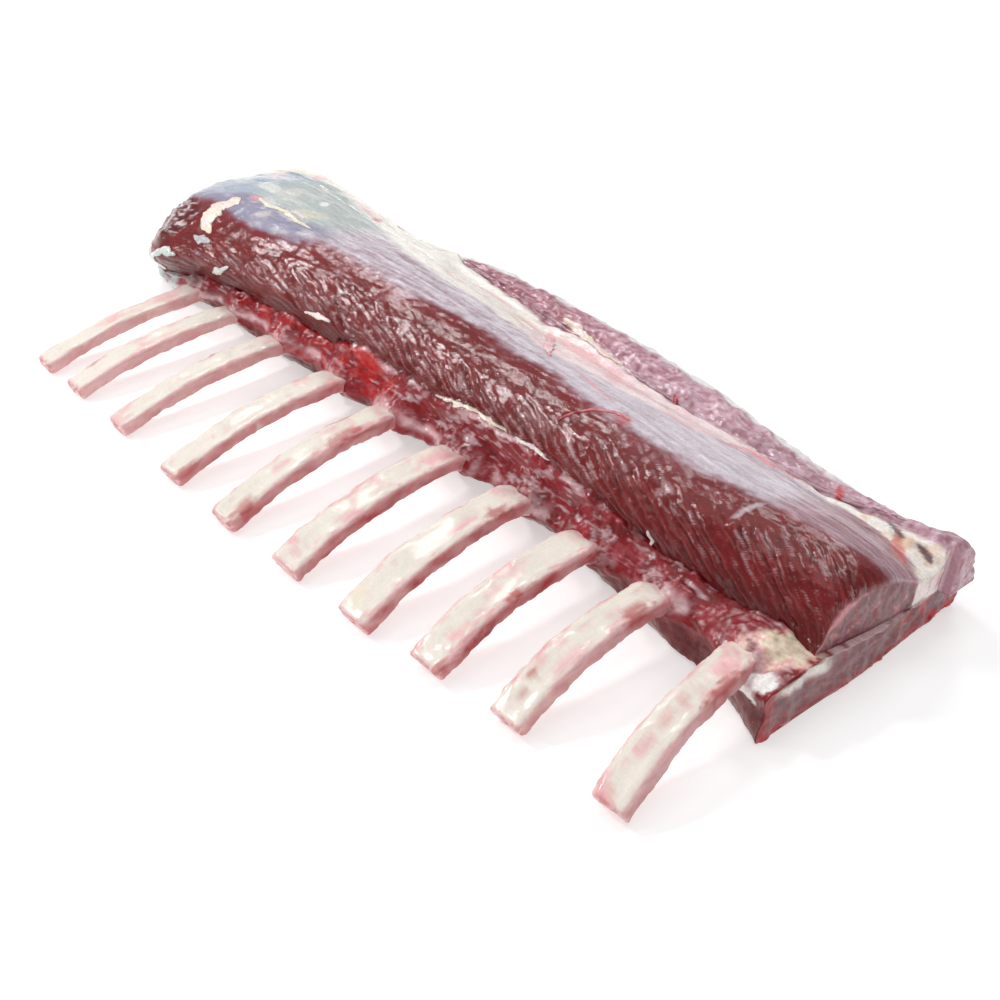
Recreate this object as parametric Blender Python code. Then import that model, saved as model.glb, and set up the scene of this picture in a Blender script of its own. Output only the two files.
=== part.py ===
"""Raw rack of venison: ten scraped ribs, the meat plate they run into, and the loins above it.

Everything is laid out in millimetres in a working frame: X runs along the rack (near cut end
at +X), Y runs from the rib tips (small Y) to the back edge, Z is up with the rack lying flat.
The finished meshes are then scaled to metres and moved so that the origin is the middle of the
bounding box's floor.
"""
import bmesh
import bpy
import math

MM = 0.001

OBJECT_NAME = "venison_rack"
GAP = 0.3

# Ends of the meat and how far the far end is rounded over.
FAR_END = -393.0
PLATE_END = 6.0
LOIN_END = 3.0
LOBE_END = 8.0
FAR_ROUND = 28.0
FAR_SHRINK = 0.22
ROUND_CENTRE_Y = 120.0
NEAR_ROUND = 9.0

# The plate's near cut runs back a little towards the far edge.
CUT_BACK = 4.0
CUT_BACK_FROM_Y = 115.0
CUT_BACK_SPAN_Y = 50.0
CUT_BACK_START_X = -30.0

# Stations along the rack at which the cross-section is given.
STATIONS = (-393, -375, -350, -300, -270, -240, -180, -120, -60, -20, 8)

# Rib plate: lip over the ribs, its height, and where the underside starts.
LIP_Y = (69, 71, 73, 74, 74, 74, 75, 75, 71, 68, 62)
LIP_Z = (9, 10, 12, 14, 14, 14, 14, 14, 16, 18, 19)
FLOOR_Y = (77, 78, 82, 82, 85, 86, 92, 88, 77, 72, 61)
# Groove between the rib plate and the near loin.
GROOVE_Y = (71, 73, 80, 84, 85, 86, 88, 88, 88, 90, 90)
GROOVE_Z = (11, 12, 16, 20, 21, 22, 22, 22, 22, 22, 21)
# Near loin: lower bulge and crown.
BULGE_Y = (66, 67, 73, 80, 82, 84, 85, 86, 88, 92, 94)
BULGE_Z = (20, 24, 30, 34, 34, 34, 34, 34, 32, 28, 26)
CROWN_Y = (104, 105, 108, 110, 111, 112, 114, 114, 114, 116, 112)
CROWN_Z = (42, 45, 50, 50, 50, 49, 48, 48, 47, 45, 40)
# Fat ridge: height at its middle and the lines where it meets the two loins.
RIDGE_Y = 150.0
RIDGE_Z = (35, 38, 40, 36, 35, 32, 30, 31, 31, 29, 22)
FAT_NEAR_Y = (141, 141, 141, 142, 143, 143, 144, 147, 147, 146, 145)
FAT_FAR_Y = (156, 157, 158, 159, 160, 160, 157, 154, 155, 161, 162)
# Far loin: shoulder, and the far edge of the whole rack.
SHOULDER_Y = (164, 165, 164, 162, 167, 169, 170, 169, 166, 163, 166)
SHOULDER_Z = (26, 28, 29, 28, 30, 31, 33, 32, 28, 31, 36)
EDGE_Y = (174, 176, 177, 178, 181, 182, 182, 181, 177, 175, 173)
EDGE_Z = 13.5

# Seam that divides the plate from everything above it.
SEAM_MIDDLE_Y = 120.0
SEAM_BACK_Z = 13.0

SCALLOP_DEPTH = 5.0

# Stations at which the cross-sections are built.
FAR_STEPS = (0.0, 1.0, 3.0, 7.0, 14.0, FAR_ROUND)
MIDDLE_STEPS = 35
NEAR_STEPS = (-6.0, -1.5, 1.5, 3.0, 5.0, 6.0, 7.2, 8.0)

# Ribs from the far end to the near end:
# tip X, X where it enters the meat, tip width, width in the meat, arch height, tip Y, thickness
RIBS = (
    (-355.0, -353.0, 10.0, 10.0, 8.0, -3.5, 6.5),
    (-330.0, -326.5, 11.0, 10.5, 8.5, -3.5, 6.5),
    (-294.0, -292.5, 11.0, 11.0, 9.0, -4.5, 6.7),
    (-250.0, -250.0, 12.5, 12.0, 11.5, -7, 6.8),
    (-212.0, -215.5, 13.5, 13.0, 11.5, -8, 7.0),
    (-172.0, -174.5, 15.0, 14.5, 13.0, -6.5, 7.4),
    (-131.5, -136.0, 16.5, 15.5, 13.5, -5.5, 7.8),
    (-94.5, -97.5, 16.5, 16.0, 14.5, -1, 7.8),
    (-55.0, -58.0, 16.5, 15.5, 15.0, 2.5, 7.8),
    (-2.5, -15.5, 15.5, 14.5, 15.0, 1.5, 7.8),
)
RIB_CREST_Y = 52.0
RIB_FALL_Y = 62.0
RIB_ENTRY_Y = 75.0
RIB_SETTLE_Y = 112.0
RIB_INNER_Z = 5.0
RIB_INNER_END_Y = 150.0
RIB_CHAMFER = 1.5
RIB_STEPS_FREE = 9
RIB_STEPS_BURIED = 5
SOCKET_START_Y = 58.0


def along(values, x):
    """Smooth curve through one row of station values, read at x."""
    last = len(STATIONS) - 1
    x = min(max(x, STATIONS[0]), STATIONS[last])
    i = 0
    while i < last - 1 and x > STATIONS[i + 1]:
        i += 1
    x0, x1 = STATIONS[i], STATIONS[i + 1]
    before, after = max(i - 1, 0), min(i + 2, last)
    slope0 = (values[i + 1] - values[before]) / (STATIONS[i + 1] - STATIONS[before])
    slope1 = (values[after] - values[i]) / (STATIONS[after] - STATIONS[i])
    span = x1 - x0
    t = (x - x0) / span
    a = 2 * t ** 3 - 3 * t ** 2 + 1
    b = t ** 3 - 2 * t ** 2 + t
    c = 3 * t ** 2 - 2 * t ** 3
    d = t ** 3 - t ** 2
    return a * values[i] + b * span * slope0 + c * values[i + 1] + d * span * slope1


def scallop(x):
    """0 on a rib, 1 midway between two ribs."""
    centres = [rib[1] for rib in RIBS]
    if x <= centres[0] or x >= centres[-1]:
        return 0.0
    i = 0
    while x > centres[i + 1]:
        i += 1
    t = (x - centres[i]) / (centres[i + 1] - centres[i])
    return 0.5 - 0.5 * math.cos(2 * math.pi * t)


def spline(points, per_span):
    """Catmull-Rom curve through a few (y, z) points."""
    result = []
    last = len(points) - 1
    for i in range(last):
        p0 = points[max(i - 1, 0)]
        p1, p2 = points[i], points[i + 1]
        p3 = points[min(i + 2, last)]
        for k in range(per_span):
            t = k / per_span
            result.append(tuple(
                0.5 * (2 * p1[j] + (p2[j] - p0[j]) * t
                       + (2 * p0[j] - 5 * p1[j] + 4 * p2[j] - p3[j]) * t ** 2
                       + (3 * p1[j] - p0[j] - 3 * p2[j] + p3[j]) * t ** 3)
                for j in (0, 1)))
    result.append(tuple(points[last]))
    return result


def resample(points, count):
    """The same line as count points, evenly spaced along its length."""
    runs = [0.0]
    for a, b in zip(points, points[1:]):
        runs.append(runs[-1] + math.dist(a, b))
    result = []
    i = 0
    for k in range(count):
        target = runs[-1] * k / (count - 1)
        while i < len(runs) - 2 and runs[i + 1] < target:
            i += 1
        t = (target - runs[i]) / (runs[i + 1] - runs[i])
        result.append(tuple(points[i][j] + (points[i + 1][j] - points[i][j]) * t for j in (0, 1)))
    return result


def skin(x):
    """Upper outline of the whole cross-section from the groove to the far edge."""
    groove = (along(GROOVE_Y, x), along(GROOVE_Z, x))
    bulge = (along(BULGE_Y, x), along(BULGE_Z, x))
    crown = (along(CROWN_Y, x), along(CROWN_Z, x))
    ridge = (RIDGE_Y, along(RIDGE_Z, x))
    shoulder = (along(SHOULDER_Y, x), along(SHOULDER_Z, x))
    edge = (along(EDGE_Y, x), EDGE_Z)
    rise = ((bulge[0] + crown[0]) / 2 - 3, (bulge[1] + crown[1]) / 2 + 5)
    fall = ((crown[0] + ridge[0]) / 2, (crown[1] + ridge[1]) / 2 + 3)
    return spline([groove, bulge, rise, crown, fall, ridge, shoulder, edge], 8)


def split_skin(x):
    """The upper outline cut into near loin, fat and far loin lines."""
    line = skin(x)
    cuts = (along(FAT_NEAR_Y, x), along(FAT_FAR_Y, x))
    parts = [[], [], []]
    part = 0
    crown_y = along(CROWN_Y, x)
    for a, b in zip(line, line[1:]):
        parts[part].append(a)
        while part < 2 and a[0] > crown_y - 5 and a[0] <= cuts[part] < b[0]:
            t = (cuts[part] - a[0]) / (b[0] - a[0])
            cut = (cuts[part], a[1] + (b[1] - a[1]) * t)
            parts[part].append(cut)
            part += 1
            parts[part].append(cut)
    parts[2].append(line[-1])
    return parts


def seam_z(x, y):
    """Height of the seam between the plate and what lies on it."""
    groove_y, groove_z = along(GROOVE_Y, x), along(GROOVE_Z, x)
    knots = ((groove_y, groove_z), (groove_y + 8, groove_z - 2),
             (SEAM_MIDDLE_Y, groove_z / 2 + 5), (RIDGE_Y, SEAM_BACK_Z),
             (along(EDGE_Y, x), EDGE_Z))
    for (y0, z0), (y1, z1) in zip(knots, knots[1:]):
        if y <= y1:
            return z0 + (z1 - z0) * (y - y0) / (y1 - y0)
    return EDGE_Z


def seam_line(x, y_start, y_end, lift):
    """Seam points strictly between two Y values, moved up by lift."""
    knots = (along(GROOVE_Y, x) + 8, SEAM_MIDDLE_Y, RIDGE_Y)
    low, high = min(y_start, y_end), max(y_start, y_end)
    inner = sorted((y for y in knots if low + 1 < y < high - 1), reverse=y_start > y_end)
    return [(y, seam_z(x, y) + lift) for y in inner]


def near_loin_section(x):
    top = resample(split_skin(x)[0], 13)
    half = GAP / 2
    fat_y = along(FAT_NEAR_Y, x)
    foot = (fat_y - 2 - half, seam_z(x, fat_y - 2) + half)
    groove = (top[0][0], top[0][1] + half)
    crest = (top[-1][0] - half, top[-1][1])
    under = seam_line(x, foot[0], groove[0], half)
    return [groove] + top[1:-1] + [crest, foot] + under


def back_fat_section(x):
    top = resample(split_skin(x)[1], 5)
    half = GAP / 2
    near_y, far_y = along(FAT_NEAR_Y, x), along(FAT_FAR_Y, x)
    first = (top[0][0] + half, top[0][1])
    last = (top[-1][0] - half, top[-1][1])
    far_foot = (far_y - 4 - half, seam_z(x, far_y - 4) + half)
    near_foot = (near_y - 2 + half, seam_z(x, near_y - 2) + half)
    return [first] + top[1:-1] + [last, far_foot, near_foot]


def far_loin_section(x):
    top = resample(split_skin(x)[2], 7)
    half = GAP / 2
    far_y = along(FAT_FAR_Y, x)
    first = (top[0][0] + half, top[0][1])
    edge = (top[-1][0], top[-1][1] + half)
    foot = (far_y - 4 + half, seam_z(x, far_y - 4) + half)
    return [first] + top[1:-1] + [edge, foot]


def plate_section(x):
    half = GAP / 2
    dip = SCALLOP_DEPTH * scallop(x)
    lip_y, lip_z = along(LIP_Y, x) + dip, along(LIP_Z, x)
    floor_y = along(FLOOR_Y, x)
    groove_y, groove_z = along(GROOVE_Y, x), along(GROOVE_Z, x)
    edge_y = along(EDGE_Y, x)
    brow = (lip_y + (groove_y - lip_y) * 0.45, lip_z + (groove_z - lip_z) * 0.6)
    seam = seam_line(x, groove_y, edge_y, -half)
    return [
        (floor_y, 0.0),
        (floor_y - 2.5, 2.0),
        (lip_y + 0.5, lip_z * 0.6),
        (lip_y, lip_z * 0.82),
        (lip_y + 1.5, lip_z),
        brow,
        (groove_y, groove_z - half),
    ] + seam + [
        (edge_y, EDGE_Z - half),
        (edge_y - 0.5, 4.0),
        (edge_y - 4.0, 0.0),
    ]


def round_far_end(x, section):
    """Draw the section in towards the middle near the far end."""
    reach = max(0.0, (FAR_END + FAR_ROUND - x) / FAR_ROUND)
    scale = 1 - FAR_SHRINK * (1 - math.sqrt(max(0.0, 1 - reach ** 2)))
    return [(ROUND_CENTRE_Y + (y - ROUND_CENTRE_Y) * scale, z * scale) for y, z in section]


def round_near_end(x, section, end, depth, base):
    """Lower what stands above base a little just before the near end of a loin."""
    reach = max(0.0, (x - (end - NEAR_ROUND)) / NEAR_ROUND)
    drop = depth * (1 - math.sqrt(max(0.0, 1 - reach ** 2)))
    top = max(z for y, z in section)
    return [(y, z - drop * max(0.0, (z - base) / (top - base))) for y, z in section]


def x_stations(end):
    """Stations from the far end to the given near end, closer where the ends are rounded."""
    start = FAR_END + FAR_ROUND
    span = NEAR_STEPS[0] - start
    far = [FAR_END + step for step in FAR_STEPS]
    middle = [start + span * i / MIDDLE_STEPS for i in range(1, MIDDLE_STEPS)]
    near = [x for x in NEAR_STEPS if x <= end]
    return far + middle + near


def loft(name, rings, material, collection):
    """Closed body through equal rings of (x, y, z) points in millimetres."""
    count = len(rings[0])
    mesh = bpy.data.meshes.new(name)
    body = bmesh.new()
    rows = [[body.verts.new([c * MM for c in point]) for point in ring] for ring in rings]
    for row, following in zip(rows, rows[1:]):
        for k in range(count):
            n = (k + 1) % count
            body.faces.new((row[k], row[n], following[n], following[k]))
    body.faces.new(rows[0])
    body.faces.new(list(reversed(rows[-1])))
    bmesh.ops.recalc_face_normals(body, faces=body.faces)
    body.to_mesh(mesh)
    body.free()
    mesh.materials.append(material)
    result = bpy.data.objects.new(name, mesh)
    collection.objects.link(result)
    return result


def cut_back(x, y):
    """How far the plate's near cut is set back at this Y, fading out along the rack."""
    fade = max(0.0, (x - CUT_BACK_START_X) / (PLATE_END - CUT_BACK_START_X))
    return CUT_BACK * fade * min(1.0, max(0.0, (y - CUT_BACK_FROM_Y) / CUT_BACK_SPAN_Y))


def plate_rings():
    rings = []
    for x in x_stations(PLATE_END):
        ring = round_far_end(x, plate_section(x))
        rings.append([(x - cut_back(x, y), y, z) for y, z in ring])
    return rings


def loin_rings(section, end, depth, base):
    rings = []
    for x in x_stations(end):
        ring = round_near_end(x, round_far_end(x, section(x)), end, depth, base)
        rings.append([(x, y, z) for y, z in ring])
    return rings


def rib_bottom_z(y, arch, tip_y):
    """Underside of a rib: rises from the floor to a crest, then settles inside the meat."""
    if y < RIB_CREST_Y:
        t = (y - tip_y) / (RIB_CREST_Y - tip_y)
        return arch * (1 - (1 - t) ** 2)
    t = min(1.0, max(0.0, (y - RIB_FALL_Y) / (RIB_SETTLE_Y - RIB_FALL_Y)))
    return RIB_INNER_Z + (arch - RIB_INNER_Z) * (0.5 + 0.5 * math.cos(math.pi * t))


def rib_rings(rib, start_y, end_y, grow):
    """Chamfered rectangle carried along the rib's arch, square to it."""
    tip_x, entry_x, tip_width, inner_width, arch, tip_y, thickness = rib
    free = [start_y + (RIB_ENTRY_Y - start_y) * i / RIB_STEPS_FREE for i in range(RIB_STEPS_FREE)]
    buried = [RIB_ENTRY_Y + (end_y - RIB_ENTRY_Y) * i / RIB_STEPS_BURIED
              for i in range(RIB_STEPS_BURIED + 1)]
    rings = []
    for y in free + buried:
        t = min(1.0, (y - tip_y) / (RIB_ENTRY_Y - tip_y))
        x = tip_x + (entry_x - tip_x) * t
        half = (tip_width + (inner_width - tip_width) * t) / 2 + grow
        z = rib_bottom_z(y, arch, tip_y)
        rise = rib_bottom_z(y + 0.5, arch, tip_y) - rib_bottom_z(y - 0.5, arch, tip_y)
        tilt = math.atan(rise)
        low, high = -grow, thickness + grow
        outline = (
            (half - RIB_CHAMFER, low), (half, low + RIB_CHAMFER),
            (half, high - RIB_CHAMFER), (half - RIB_CHAMFER, high),
            (RIB_CHAMFER - half, high), (-half, high - RIB_CHAMFER),
            (-half, low + RIB_CHAMFER), (RIB_CHAMFER - half, low),
        )
        rings.append([(x + side, y - up * math.sin(tilt), z + up * math.cos(tilt))
                      for side, up in outline])
    return rings


def new_collection(name):
    collection = bpy.data.collections.new(name)
    bpy.context.scene.collection.children.link(collection)
    return collection


def new_material(name, colour, roughness):
    material = bpy.data.materials.new(name)
    material.use_nodes = True
    shader = material.node_tree.nodes["Principled BSDF"]
    shader.inputs["Base Color"].default_value = (*colour, 1.0)
    shader.inputs["Roughness"].default_value = roughness
    shader.inputs["Metallic"].default_value = 0.0
    return material


def rest_on_origin(parts, cutters):
    """Move everything so that the bounding box's floor is centred on the origin."""
    corners = [vertex.co for part in parts for vertex in part.data.vertices]
    shift = [0.0, 0.0, 0.0]
    for axis in (0, 1):
        values = [corner[axis] for corner in corners]
        shift[axis] = -(min(values) + max(values)) / 2
    shift[2] = -min(corner[2] for corner in corners)
    for item in parts + cutters:
        for vertex in item.data.vertices:
            vertex.co = [vertex.co[axis] + shift[axis] for axis in range(3)]


def main():
    for item in list(bpy.data.objects):
        bpy.data.objects.remove(item)

    rack = new_collection(OBJECT_NAME)
    cutter_set = new_collection("socket_cutters")
    cutter_set.hide_render = True

    bone = new_material("bone", (0.78, 0.70, 0.62), 0.42)
    plate_meat = new_material("plate_meat", (0.30, 0.035, 0.04), 0.34)
    loin_meat = new_material("loin_meat", (0.19, 0.022, 0.026), 0.28)
    far_meat = new_material("far_meat", (0.22, 0.05, 0.06), 0.32)
    fat = new_material("fat", (0.74, 0.58, 0.50), 0.38)

    over_groove = max(GROOVE_Z) + 1
    over_edge = EDGE_Z + 1
    near_loin = loin_rings(near_loin_section, LOIN_END, 5.0, over_groove)
    back_fat = loin_rings(back_fat_section, LOIN_END, 1.5, over_edge)
    far_loin = loin_rings(far_loin_section, LOBE_END, 5.0, over_edge)
    plate = loft("rib_plate", plate_rings(), plate_meat, rack)
    parts = [
        plate,
        loft("near_loin", near_loin, loin_meat, rack),
        loft("back_fat", back_fat, fat, rack),
        loft("far_loin", far_loin, far_meat, rack),
    ]
    cutters = []
    for number, rib in enumerate(RIBS, start=1):
        tip_y = rib[5]
        rings = rib_rings(rib, tip_y, RIB_INNER_END_Y, 0.0)
        parts.append(loft("rib_%02d" % number, rings, bone, rack))
        socket = rib_rings(rib, SOCKET_START_Y, RIB_INNER_END_Y + GAP, GAP)
        cutter = loft("socket_%02d" % number, socket, bone, cutter_set)
        cutter.hide_render = True
        cutter.display_type = "WIRE"
        cutters.append(cutter)
        cut = plate.modifiers.new("socket_%02d" % number, "BOOLEAN")
        cut.operation = "DIFFERENCE"
        cut.solver = "EXACT"
        cut.object = cutter
    rest_on_origin(parts, cutters)


main()
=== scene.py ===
"""Looks of the raw rack of venison: every piece of meat, fat and bone as a fine, wet, uneven mesh.

Forms are laid out in millimetres in the working frame of the part's source (X along the rack,
near cut end at +X, Y from the rib tips to the back edge, Z up) and moved into the row frame at
the end. Colour is painted on the points by functions of place, painted highlights and painted
shade among it, and each material adds the finer grain, painted glint specks, gloss and bump.
"""
import math

import bpy
import numpy as np
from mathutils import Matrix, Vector


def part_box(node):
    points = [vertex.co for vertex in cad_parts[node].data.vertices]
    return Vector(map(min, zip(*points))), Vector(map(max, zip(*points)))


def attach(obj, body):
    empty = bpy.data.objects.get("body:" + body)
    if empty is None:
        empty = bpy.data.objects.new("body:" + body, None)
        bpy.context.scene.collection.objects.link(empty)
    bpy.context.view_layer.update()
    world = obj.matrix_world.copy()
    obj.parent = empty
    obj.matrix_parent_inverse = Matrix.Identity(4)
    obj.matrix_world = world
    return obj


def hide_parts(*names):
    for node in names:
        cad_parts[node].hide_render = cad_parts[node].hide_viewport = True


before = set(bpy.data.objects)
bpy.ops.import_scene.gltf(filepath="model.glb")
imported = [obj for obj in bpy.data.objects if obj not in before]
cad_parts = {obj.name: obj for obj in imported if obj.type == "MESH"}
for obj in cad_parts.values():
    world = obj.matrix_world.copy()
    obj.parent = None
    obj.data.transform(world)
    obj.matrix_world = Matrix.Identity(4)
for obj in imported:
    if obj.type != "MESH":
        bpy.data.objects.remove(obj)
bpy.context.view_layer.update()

MM = 0.001
STEP = 0.85                            # spacing of the skin mesh along the rack
LOWER_EVERY = 4                        # hidden lower sheets keep every fourth column of points
LOIN_CAP_ROWS = 18
PLATE_CAP_ROWS = 20
LOIN_COLUMNS = 133                     # points across each piece: a multiple of LOWER_EVERY, + 1
FAT_COLUMNS = 25
FAR_COLUMNS = 53
PLATE_COLUMNS = 153
RIB_COLUMNS = 64
RIB_ROWS = 120

# ---- Form of the rack (millimetres), as in the part's source ----
FAR_END = -393.0
PLATE_END = 6.0
LOIN_END = 3.0
LOBE_END = 8.0
FAR_ROUND = 28.0
FAR_SHRINK = 0.22
ROUND_CENTRE_Y = 120.0
NEAR_ROUND = 9.0
CUT_BACK = 4.0
CUT_BACK_FROM_Y = 115.0
CUT_BACK_SPAN_Y = 50.0
CUT_BACK_START_X = -30.0

STATIONS = (-393, -375, -350, -300, -270, -240, -180, -120, -60, -20, 8)
LIP_Y = (69, 71, 73, 74, 74, 74, 75, 75, 71, 68, 62)
LIP_Z = (9, 10, 12, 14, 14, 14, 14, 14, 16, 18, 19)
FLOOR_Y = (77, 78, 82, 82, 85, 86, 92, 88, 77, 72, 61)
GROOVE_Y = (71, 73, 80, 84, 85, 86, 88, 88, 88, 90, 90)
GROOVE_Z = (11, 12, 16, 20, 21, 22, 22, 22, 22, 22, 21)
BULGE_Y = (66, 67, 73, 80, 82, 84, 85, 86, 88, 92, 94)
BULGE_Z = (20, 24, 30, 34, 34, 34, 34, 34, 32, 28, 26)
CROWN_Y = (104, 105, 108, 110, 111, 112, 114, 114, 114, 116, 112)
CROWN_Z = (42, 45, 50, 50, 50, 49, 48, 48, 47, 45, 40)
RIDGE_Y = 150.0
RIDGE_Z = (35, 38, 40, 36, 35, 32, 30, 31, 31, 29, 22)
FAT_NEAR_Y = (141, 141, 141, 142, 143, 143, 144, 147, 147, 146, 145)
FAT_FAR_Y = (156, 157, 158, 159, 160, 160, 157, 154, 155, 161, 162)
SHOULDER_Y = (164, 165, 164, 162, 167, 169, 170, 169, 166, 163, 166)
SHOULDER_Z = (26, 28, 29, 28, 30, 31, 33, 32, 28, 31, 36)
EDGE_Y = (174, 176, 177, 178, 181, 182, 182, 181, 177, 175, 173)
EDGE_Z = 13.5
SEAM_MIDDLE_Y = 120.0
SEAM_BACK_Z = 13.0
SCALLOP_DEPTH = 5.0
PLATE_FRONT = 0.42                     # share of the plate's points in front of the groove
PLATE_BACK = 0.14                      # share on its back edge
PLATE_BACK_FROM = 0.84                 # share at which the back edge shows

# tip X, entry X, tip width, inner width, arch height, tip Y, thickness
RIBS = (
    (-355.0, -353.0, 10.0, 10.0, 8.0, -3.5, 6.5),
    (-330.0, -326.5, 11.0, 10.5, 8.5, -3.5, 6.5),
    (-294.0, -292.5, 11.0, 11.0, 9.0, -4.5, 6.7),
    (-250.0, -250.0, 12.5, 12.0, 11.5, -7, 6.8),
    (-212.0, -215.5, 13.5, 13.0, 11.5, -8, 7.0),
    (-172.0, -174.5, 15.0, 14.5, 13.0, -6.5, 7.4),
    (-131.5, -136.0, 16.5, 15.5, 13.5, -5.5, 7.8),
    (-94.5, -97.5, 16.5, 16.0, 14.5, -1, 7.8),
    (-55.0, -58.0, 16.5, 15.5, 15.0, 2.5, 7.8),
    (-2.5, -15.5, 15.5, 14.5, 15.0, 1.5, 7.8),
)
RIB_CREST_Y = 52.0
RIB_FALL_Y = 62.0
RIB_ENTRY_Y = 75.0
RIB_SETTLE_Y = 112.0
RIB_INNER_Z = 5.0
RIB_INNER_END_Y = 100.0
RIB_TIP_ROUND = 1.6
RIB_TIP_INSET = 1.0
RIB_SQUARENESS = 0.42                  # power of the section: 1 is an ellipse, 0 a rectangle
RIB_SUNK_Y = (69.0, 86.0)              # where a rib sinks into the plate
RIB_SUNK_DROP = 3.4
RIB_SUNK_NARROWS = 1.8

# Parts of a body's surface; on a rib the two cuts are its tip and its inner end
OPEN, UNDER, NEAR_CUT, FAR_CUT = 0.0, 1.0, 2.0, 3.0


# ---- Noise ----
def hash_lattice(ix, iy, iz, seed):
    """Repeatable number in 0..1 for each lattice point."""
    h = (ix * 374761393 + iy * 668265263 + iz * 2147483647 + seed * 144665) & 0xFFFFFFFF
    for shift, factor in ((13, 1274126177), (16, 2246822519)):
        h = ((h ^ (h >> shift)) * factor) & 0xFFFFFFFF
    return ((h ^ (h >> 15)) & 0xFFFFFF) / float(0xFFFFFF)


def noise(x, y, z, seed):
    """Smooth value noise in -1..1 on broadcast arrays; one lattice cell is one unit."""
    x, y, z = np.broadcast_arrays(x, y, z)
    fx, fy, fz = np.floor(x), np.floor(y), np.floor(z)
    tx, ty, tz = x - fx, y - fy, z - fz
    ix, iy, iz = fx.astype(np.int64), fy.astype(np.int64), fz.astype(np.int64)
    tx, ty, tz = (t * t * t * (t * (t * 6 - 15) + 10) for t in (tx, ty, tz))
    total = 0.0
    for dx in (0, 1):
        wx = tx if dx else 1 - tx
        for dy in (0, 1):
            wy = ty if dy else 1 - ty
            for dz in (0, 1):
                wz = tz if dz else 1 - tz
                total = total + wx * wy * wz * hash_lattice(ix + dx, iy + dy, iz + dz, seed)
    return total * 2 - 1


def fbm(x, y, z, seed, octaves=3):
    """Sum of noise octaves, in about -1..1."""
    total, gain, norm = 0.0, 1.0, 0.0
    for k in range(octaves):
        total = total + gain * noise(x * 2 ** k, y * 2 ** k, z * 2 ** k, seed + 17 * k)
        norm += gain
        gain *= 0.5
    return total / norm * 1.4


def smooth(low, high, value):
    """Smoothstep from 0 at low to 1 at high."""
    t = np.clip((value - low) / (high - low), 0.0, 1.0)
    return t * t * (3 - 2 * t)


# ---- Sections ----
def along(values, x):
    """Smooth curve through one row of station values, read at the array x."""
    stations = np.array(STATIONS, float)
    v = np.array(values, float)
    x = np.clip(np.asarray(x, float), stations[0], stations[-1])
    slopes = np.empty_like(v)
    slopes[1:-1] = (v[2:] - v[:-2]) / (stations[2:] - stations[:-2])
    slopes[0] = (v[1] - v[0]) / (stations[1] - stations[0])
    slopes[-1] = (v[-1] - v[-2]) / (stations[-1] - stations[-2])
    i = np.clip(np.searchsorted(stations, x, side="left") - 1, 0, len(v) - 2)
    span = stations[i + 1] - stations[i]
    t = (x - stations[i]) / span
    a = 2 * t ** 3 - 3 * t ** 2 + 1
    b = t ** 3 - 2 * t ** 2 + t
    c = 3 * t ** 2 - 2 * t ** 3
    d = t ** 3 - t ** 2
    return a * v[i] + b * span * slopes[i] + c * v[i + 1] + d * span * slopes[i + 1]


def scallop(x):
    """0 on a rib, 1 midway between two ribs."""
    centres = np.array([rib[1] for rib in RIBS])
    i = np.clip(np.searchsorted(centres, x) - 1, 0, len(centres) - 2)
    t = np.clip((x - centres[i]) / (centres[i + 1] - centres[i]), 0.0, 1.0)
    return 0.5 - 0.5 * np.cos(2 * np.pi * t)


def spline_weights(count, per_span):
    """Matrix that turns count knots into a Catmull-Rom line."""
    rows = []
    for i in range(count - 1):
        for k in range(per_span):
            t = k / per_span
            row = np.zeros(count)
            row[max(i - 1, 0)] += 0.5 * (-t + 2 * t ** 2 - t ** 3)
            row[i] += 0.5 * (2 - 5 * t ** 2 + 3 * t ** 3)
            row[i + 1] += 0.5 * (t + 4 * t ** 2 - 3 * t ** 3)
            row[min(i + 2, count - 1)] += 0.5 * (-t ** 2 + t ** 3)
            rows.append(row)
    rows.append(np.eye(count)[-1])
    return np.array(rows)


def resample(line, count):
    """The same (n, k) line as count rows, evenly spaced along its first two columns."""
    runs = np.concatenate([[0.0], np.cumsum(np.hypot(*np.diff(line[:, :2], axis=0).T))])
    at = np.linspace(0.0, runs[-1], count)
    return np.stack([np.interp(at, runs, line[:, k]) for k in range(line.shape[1])], axis=1)


SKIN_WEIGHTS = spline_weights(8, 24)


def skin_line(x):
    """Upper outline at one station: rows of y, z, share of the way from groove to far edge."""
    groove = (along(GROOVE_Y, x), along(GROOVE_Z, x))
    bulge = (along(BULGE_Y, x), along(BULGE_Z, x))
    crown = (along(CROWN_Y, x), along(CROWN_Z, x))
    ridge = (RIDGE_Y, along(RIDGE_Z, x))
    shoulder = (along(SHOULDER_Y, x), along(SHOULDER_Z, x))
    edge = (along(EDGE_Y, x), EDGE_Z)
    rise = ((bulge[0] + crown[0]) / 2 - 3, (bulge[1] + crown[1]) / 2 + 5)
    fall = ((crown[0] + ridge[0]) / 2, (crown[1] + ridge[1]) / 2 + 3)
    line = SKIN_WEIGHTS @ np.array((groove, bulge, rise, crown, fall, ridge, shoulder, edge))
    runs = np.concatenate([[0.0], np.cumsum(np.hypot(*np.diff(line, axis=0).T))])
    return np.column_stack([line, runs / runs[-1]])


def split_skin(x):
    """The upper outline cut into near loin, fat and far loin lines."""
    line = skin_line(x)
    crown_at = int(np.argmax(line[:, 1]))
    pieces = []
    start = 0
    head = line[:1]
    for cut_y in (along(FAT_NEAR_Y, x), along(FAT_FAR_Y, x)):
        i = max(start, crown_at)
        while line[i + 1, 0] < cut_y:
            i += 1
        t = (cut_y - line[i, 0]) / (line[i + 1, 0] - line[i, 0])
        cut = line[i] + (line[i + 1] - line[i]) * t
        pieces.append(np.vstack([head, line[start + 1:i + 1], cut]))
        head, start = cut[None, :], i
    pieces.append(np.vstack([head, line[start + 1:]]))
    return pieces


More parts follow.
